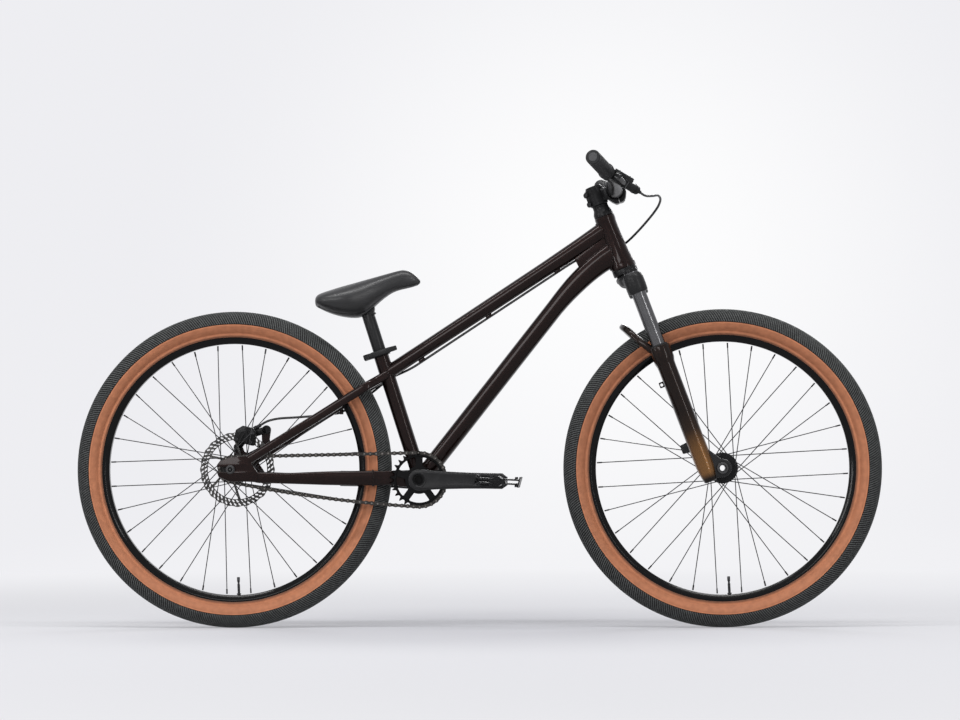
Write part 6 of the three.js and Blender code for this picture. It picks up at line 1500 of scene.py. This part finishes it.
def add_lever():
    """Brake lever: clamp, master cylinder with its tank, and the blade on its pin."""
    around_bar = axes((0, 0, 0), (1, 0, 0), (0, 0, -1), (0, 1, 0))
    ring = collar(11.3, 15.9, -6.5, 6.5, 0.8, 48).at(around_bar)
    ferrule_end = LEVER.inverted() @ Vector(HOSE_ROUTE[0])
    way = ferrule_end - Vector((16.2, 0, 0))
    inside = ferrule_end - way.normalized() * 12
    cylinder = rod((16.2, 0, 0), inside, 9.5, 36, 1.6)
    rib = rod(inside - way.normalized() * 14, inside - way.normalized() * 9, 10.2, 36, 0.6)
    neck = block((26, 15, 16), 3, shifted(18, 2, 0))
    run = way.normalized()
    side = run.cross(Vector((0, 0, 1))).normalized()
    tank_place = axes(Vector((27.5, 18, 11.4)), side, run, side.cross(run))
    tank = block((22, 50, 12), 3.4, tank_place, 3)
    lid = block((20, 47, 2.4), 1.0, tank_place @ shifted(0, 0, 6.6))
    pivot = Vector((40, 5.2, 0))
    lug_outline = eased([(22, -2.4), (22, 12.8), (40, 12.8), (47.6, 9), (47.6, 1.4), (40, -2.4)],
                        [2, 2, 6, 4, 4, 6], 4)
    lugs = plate(lug_outline, 5.4, 8, 0.6) + plate(lug_outline, -8, -5.4, 0.6)
    pin = rod((40, 5.2, -9.6), (40, 5.2, 9.6), 2.6, 20, 0.3)
    screws = Form()
    for y in (-19.5, 19.5):
        screws = screws + socket_screw(tank_place @ shifted(0, y, 7.6), 1.8, 0.9, 1)
    ferrule = rod(inside, ferrule_end, 4, 24, 0.6)
    body = ring + cylinder + rib + neck + tank + lugs
    add_piece("brake_lever_body", "steering", LEVER, (body, "black_metal"), (lid, "grey_lid_and_plug_highlight"),
              (pin + ferrule + screws, "bolt_steel"))
    line = smooth([(40, 5.2, 0, 9, 9.6), (42.8, -8, 0, 7.2, 9.6), (43.2, -22, 0, 6.6, 10),
                   (41.6, -45, 0, 6.6, 10), (39.8, -66, 0, 6.8, 10), (43.4, -78, 0, 7, 9.6),
                   (51.6, -85.6, 0, 6.4, 8.6)], 5)
    blade = strut(line, 2.6, 28, (1, 0, 0.001), 2.4)
    form = blade + collar(2.8, 7.6, -4.9, 4.9, 0.6, 32).moved(*pivot)
    add_piece("brake_lever", "lever", LEVER, (form, "black_forged"))


add_stem()
add_handlebar()
add_grips()
add_lever()


# Brake

def add_rotor():
    outline, teeth = [], 24
    for i in range(teeth * 8):
        angle = TURN * i / (teeth * 8)
        outline.append(polar(79.1 + 0.9 * cos(angle * teeth), angle))
    holes = [circle(18, 40)] + windows(6, 5.5, 25.5, 63.5, radians(10), radians(24), 2.4)
    for i in range(96):
        radius, angle = (67.6, 74.6)[i % 2], TURN * i / 96
        slot = []
        for x, y in eased([(-3.3, -1.45), (3.3, -1.45), (3.3, 1.45), (-3.3, 1.45)], 1.3, 2):
            tilt = angle + radians(48)
            slot.append((radius * cos(angle) + x * cos(tilt) - y * sin(tilt),
                         radius * sin(angle) + x * sin(tilt) + y * cos(tilt)))
        holes.append(slot)
    disc = plate(outline, 50.1, 51.9, 0.2, holes)
    bolts, bolt_circle = Form(), 21.6
    for i in range(6):
        angle = TURN * i / 6 + radians(10)
        spot = shifted(bolt_circle * cos(angle), 51.8, bolt_circle * sin(angle))
        bolts = bolts + socket_screw(spot @ OUTWARD, 3.2, 1.6, 1.6)
    add_piece("brake_rotor", "rear_wheel", HERE, (disc.at(REAR @ SIDE_ON), "rotor_steel"),
              (bolts.at(REAR), "bolt_steel"), crease=28)


def add_caliper():
    outline = eased([(-22, -18.5), (22, -18.5), (22, 10.4), (13.9, 18.5), (-9.8, 18.5), (-22, 6.3)],
                    [3, 3, 4, 4, 4, 4], 4)
    halves = plate(outline, 4.9, 15.5, 1.6, steps=2).at(SIDE_ON).both_sides()
    top = eased([(-20.4, 6.6), (20.4, 6.6), (20.4, 10), (13.4, 17), (-9.4, 17), (-20.4, 7.4)], 1.2, 2)
    bridge = plate(top, -5, 5, 0.2).at(SIDE_ON)
    boss = lathe([(0, 15), (15, 15), (15, 17.4), (13.6, 19.2), (10.6, 19.5), (10.2, 18.6), (0, 18.6)], 44)
    bosses = boss.moved(0, -2.2, 0).at(SIDE_ON).both_sides()
    form = (halves + bridge + bosses).at(CALIPER)
    screws = Form()
    for x, z in ((-15, -12.5), (15.5, -12.5), (15.5, 8)):
        screws = screws + socket_screw(along((x, -15.4, z), (x, -30, z)), 3.6, 2, 1.9).at(CALIPER)
        screws = screws + socket_screw(along((x, 15.4, z), (x, 30, z)), 3.6, 2, 1.9).at(CALIPER)
    for (x, z), root in zip(BRAKE_HOLES, ((-503, 396), (-478, 411))):
        ear = arc(9.5, 0, 330, 22, x, z)
        form = form + plate(ear, 55.9, 59.7, 0.6).at(SIDE_ON)
        middle = ((x + root[0]) / 2, 57.8, (z + root[1]) / 2)
        ahead = (Vector((root[0], 0, root[1])) - Vector((x, 0, z))).normalized()
        across = ahead.cross(ACROSS)
        span = hypot(root[0] - x, root[1] - z)
        form = form + block((span, 3.8, 15), 1.2, axes(middle, ahead, ACROSS, across))
        screws = screws + rod((x, 57, z), (x, 66.4, z), 3, 20)
        screws = screws + socket_screw(along((x, 66.1, z), (x, 80, z)), 5.1, 3, 2.6)
    tip, before = Vector(HOSE_ROUTE[-1]), Vector(HOSE_ROUTE[-2])
    way = (tip - before).normalized()
    ferrule = rod(tip, tip + way * 12, 4, 24, 0.6)
    neck = rod(tip + way * 9, CALIPER @ Vector((8.8, 9.3, 11)), 5.2, 24, 0.8)
    add_piece("brake_caliper", "frame", HERE, (form + neck, "black_metal"),
              (screws + ferrule, "bolt_steel"), crease=36)
    for name, side, body in (("brake_pad_inner", -1, "inner_pad"), ("brake_pad_outer", 1, "outer_pad")):
        lining = block((26, 1.9, 15), 0.4, shifted(0, side * 2.55, -2.2))
        back = block((26, 1.0, 15), 0.3, shifted(0, side * 4.0, -2.2))
        add_piece(name, body, CALIPER, (lining, "pad"), (back, "bolt_steel"))


def add_rear_axle():
    bar = rod((0, -73, 0), (0, 73, 0), 4.8, 24)
    washer = lathe([(4.9, 73.8), (9.5, 73.8), (9.5, 75.2), (9.1, 75.6), (4.9, 75.6)], 40).at(SIDE_ON)
    nut = socket_screw(shifted(0, 75.5, 0) @ OUTWARD, 8.4, 3.7, 4.2)
    dot = rod((0, 79.3, 0), (0, 79.7, 0), 2, 16, 0.1)
    # Painted shade: a near-black disc fills the nut's hexagon socket, standing for the shade inside it
    nut_socket_shade = rod((0, 75, 0), (0, 79.4, 0), 5.2, 28, 0.1)
    form = bar + (washer + nut + dot).both_sides()
    add_piece("rear_axle", "frame", REAR, (form, "axle_steel"), (nut_socket_shade.both_sides(), "painted_recess_shade"))


add_rotor()
add_caliper()
add_rear_axle()


# Seat

def add_seat_clamp():
    band_clamp = collar(16.2, 20.6, 274, 287, 0.6, 60)
    ears = block((17, 15, 12.6), 1.6, shifted(-27.5, 0, 280.5))
    form = (band_clamp + ears).at(SEAT)
    add_piece("seat_clamp", "frame", HERE, (form, "black_metal"))
    x, z = -28.85, 280.5
    cam = rod((x, -15.8, 275), (x, -15.8, 286), 7, 32, 1)
    path = smooth([(x, -15.8, z, 5, 11), (-16, -20.6, z, 5, 11), (0, -25.2, z, 4.6, 11.4),
                   (18, -25.4, z, 4.2, 11.4), (36.5, -22.6, z, 3.6, 10)], 6)
    blade = strut(path, 3.2, 28, (0, 1, 0), 1.6)
    skewer = rod((x, -9, z), (x, 9.6, z), 2.6, 20)
    nut = socket_screw(along((x, 7.6, z), (x, 20, z)), 5.2, 3, 2.4)
    add_piece("seat_clamp_lever", "clamp_lever", SEAT, (cam + blade, "black_forged"),
              (skewer, "bolt_steel"))
    add_piece("seat_clamp_nut", "frame", SEAT, (nut, "bolt_steel"), stands_for=[])


def add_seatpost():
    """Post with a rounded head that the saddle's bolt goes through."""
    shaft = [(0, 175), (12.8, 175), (13.6, 176), (13.6, 366), (13.0, 369), (0, 370)]
    post = lathe(shaft, 56)
    head = collar(5, 18, -12, 12, 1.2, 56)
    cradle = block((29, 25, 4.6), 1.6, lean(SADDLE + Vector((7, 0, -14.5)), 27))
    form = post.at(SEAT) + head.at(SIDE_ON).at(Matrix.Translation(SADDLE)) + cradle
    bolt = rod((0, -11.6, 0), (0, 11.6, 0), 4.8, 24).at(Matrix.Translation(SADDLE))
    add_piece("seatpost", "seat_post", HERE, (form, "black_forged"), (bolt, "bolt_steel"), crease=40)


# The cushion's sections: distance ahead of the bolt, lowest and highest point, half width
SADDLE_SECTIONS = (
    (-106, 6.5, 22, 30), (-104.5, 4.5, 27, 38), (-100, 2, 31, 46), (-93, -1.5, 34, 53),
    (-84, -6, 37, 58.5), (-70, -11.5, 41.5, 62), (-54, -16, 46.5, 62.5), (-38, -18.5, 51, 61),
    (-24, -19.5, 54.8, 57), (-10, -18.5, 58.8, 50.5), (4, -10, 62.8, 44), (16, 2, 66, 38),
    (28, 14, 69.4, 33), (50, 31, 75.4, 27), (64, 37.5, 79.2, 23.5), (78, 41, 82.6, 20.5),
    (90, 43.5, 81, 17.5), (100, 46, 75.6, 14), (108, 49, 68, 10), (113, 52, 62, 6), (115, 55, 59, 3),
)


def saddle_ring(ahead, low, high, half, sides=40):
    """Crown above the shoulder, and sides that draw in towards the base."""
    shoulder = low + (high - low) * 0.5
    points = []
    for j in range(sides):
        a = TURN * j / sides
        c, s = cos(a), sin(a)
        if s >= 0:
            y = copysign(abs(c) ** 0.82, c) * half
            z = shoulder + (high - shoulder) * abs(s) ** 0.86
        else:
            drawn = 1 - 0.36 * abs(s) ** 1.5
            y = copysign(abs(c) ** 0.6, c) * half * drawn
            z = shoulder - (shoulder - low) * abs(s) ** 0.75
        points.append(SADDLE + Vector((ahead, y, z)))
    return points


def add_saddle():
    """Padded cover over a moulded base, open underneath where the post's head sits."""
    rings = [saddle_ring(*row) for row in SADDLE_SECTIONS]
    cushion = loft(rings)
    base_rings = []
    for ahead, low, _, half in SADDLE_SECTIONS[2:-3]:
        width = half * 0.5
        oval = squircle(2.04, 7, 3, 24)
        base_rings.append([SADDLE + Vector((ahead, y * width, low + 4.5 + z)) for y, z in oval])
    base = loft(base_rings)
    made = add_piece("saddle", "seat", HERE, (cushion, "saddle_cover"), (base, "saddle_base"), crease=60)
    fine = made.modifiers.new("fine", "SUBSURF")
    fine.levels = 1
    fine.render_levels = 1
    edge = []
    for row in SADDLE_SECTIONS[2:-2]:
        ring = saddle_ring(*row)
        edge.append(ring[34] + Vector((0, 0.5, 0)))
    other = [Vector((p.x, -p.y, p.z)) for p in reversed(edge)]
    loop = smooth([tuple(p) for p in edge + other + edge[:1]], 3)[:-1]
    add_wires("saddle_piping", "seat", [loop], 1.1, "saddle_base", 8, True)


add_seat_clamp()
add_seatpost()
add_saddle()

for name, finish in (("fork_steerer", "black_metal"), ("headset_upper_bearing", "bolt_steel"),
                     ("crank_spindle", "black_metal")):
    inner_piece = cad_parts[name]
    inner_piece.data.materials.clear()
    inner_piece.data.materials.append(FINISHES[finish][0])


# Studio

FAR_TONE = (0.855, 0.855, 0.885)


def pale_backdrop():
    """Pale floor and wall: the floor's colour holds a painted shadow, a soft grey pool under the bicycle,
    and the glow holds a painted pool of light behind it; further off the tone is its own.
    """
    material = bpy.data.materials.new("pale_backdrop")
    material.use_nodes = True
    tree = material.node_tree
    tree.nodes.clear()

    def away(scale, shift=(0, 0, 0)):
        """Distance from the bicycle, with each axis stretched."""
        moved = node(tree, "ShaderNodeMapping", {
            "Vector": own_place(tree), "Location": shift, "Scale": scale})
        length = node(tree, "ShaderNodeVectorMath", {0: moved.outputs["Vector"]}, operation="LENGTH")
        return length.outputs["Value"]

    # Painted shadow: the floor's own colour darkens to a soft grey pool under the bicycle
    painted_shadow_pool = ramp(tree, away((0.95, 0.8, 1.5)), ((0.2, (0.44, 0.44, 0.47)), (1, (0.59, 0.59, 0.615))), "EASE")
    # Painted light: the glow is brightest on the backdrop straight behind the bicycle and dims towards the
    # sides, top and bottom
    painted_light_tones = ((0, (0.99, 0.99, 0.995)), (1, FAR_TONE))
    painted_light_pool = ramp(tree, away((0.3, 0.03, 0.3), (0, -0.45, -0.55)), painted_light_tones, "EASE")
    far = {"Value": away((0.3, 0.22, 1.2)), "To Min": 0.25, "To Max": 1.0}
    grow = node(tree, "ShaderNodeMapRange", far, interpolation_type="SMOOTHSTEP")
    path = node(tree, "ShaderNodeLightPath").outputs
    share = node(tree, "ShaderNodeMath", {
        0: path["Is Camera Ray"], 1: grow.outputs["Result"], 2: path["Is Glossy Ray"]},
        operation="MULTIPLY_ADD", use_clamp=True)
    lit = node(tree, "ShaderNodeBsdfDiffuse", {"Color": painted_shadow_pool})
    glow = node(tree, "ShaderNodeEmission", {"Color": painted_light_pool})
    mix = node(tree, "ShaderNodeMixShader", {
        0: share.outputs["Value"], 1: lit.outputs["BSDF"], 2: glow.outputs["Emission"]})
    node(tree, "ShaderNodeOutputMaterial", {"Surface": mix.outputs["Shader"]})
    return material


def add_backdrop():
    """A floor that sweeps up behind the bicycle."""
    half, front, foot, radius, top = 30.0, -30.0, 13.0, 5.0, 16.0
    line = [(front, 0.0), (-4.0, 0.0), (0.0, 0.0), (foot, 0.0)]
    for i in range(1, 17):
        a = pi / 2 * i / 16
        line.append((foot + radius * sin(a), radius * (1 - cos(a))))
    line.append((foot + radius, top))
    points, faces = [], []
    for i, (y, z) in enumerate(line):
        points += [(-half, y, z), (half, y, z)]
        if i:
            faces.append((2 * i - 2, 2 * i - 1, 2 * i + 1, 2 * i))
    mesh = bpy.data.meshes.new("backdrop")
    mesh.from_pydata(points, [], faces)
    mesh.shade_smooth()
    mesh.materials.append(pale_backdrop())
    put("backdrop", mesh)


def add_lamp(name, place, target, size, power):
    data = bpy.data.lights.new(name, "AREA")
    data.shape = "RECTANGLE"
    data.size, data.size_y = size
    data.energy = power
    lamp = put(name, data)
    lamp.location = place
    lamp.rotation_euler = (Vector(target) - Vector(place)).to_track_quat("-Z", "Y").to_euler()


def add_world():
    """Soft light from all round; reflections and the camera see the pale backdrop's tone."""
    world = bpy.data.worlds.new("studio")
    bpy.context.scene.world = world
    world.use_nodes = True
    tree = world.node_tree
    light = tree.nodes["Background"]
    light.inputs["Color"].default_value = (0.95, 0.96, 1.0, 1)
    light.inputs["Strength"].default_value = 0.42
    seen = node(tree, "ShaderNodeBackground", {"Color": (*FAR_TONE, 1)})
    path = node(tree, "ShaderNodeLightPath").outputs
    either = node(tree, "ShaderNodeMath", {0: path["Is Camera Ray"], 1: path["Is Glossy Ray"]},
                  operation="ADD", use_clamp=True)
    mix = node(tree, "ShaderNodeMixShader", {
        0: either.outputs["Value"], 1: light.outputs["Background"], 2: seen.outputs["Background"]})
    tree.links.new(mix.outputs["Shader"], tree.nodes["World Output"].inputs["Surface"])


add_backdrop()
add_world()
MIDDLE = (0, 0, 0.5)
add_lamp("overhead", (0, -0.9, 2.7), MIDDLE, (3.2, 0.2), 54)
add_lamp("front_box", (-1.6, -4.6, 2.0), (0, 0, 0.45), (2.2, 1.2), 64)
add_lamp("left_strip", (-3.0, -2.0, 1.3), MIDDLE, (0.16, 2.2), 26)
add_lamp("right_strip", (2.5, -2.9, 1.3), (0.2, 0, 0.6), (0.16, 2.2), 26)
add_lamp("back_box", (0.8, 3.4, 2.3), MIDDLE, (2.4, 1.0), 60)
bpy.context.scene.view_settings.view_transform = "Standard"
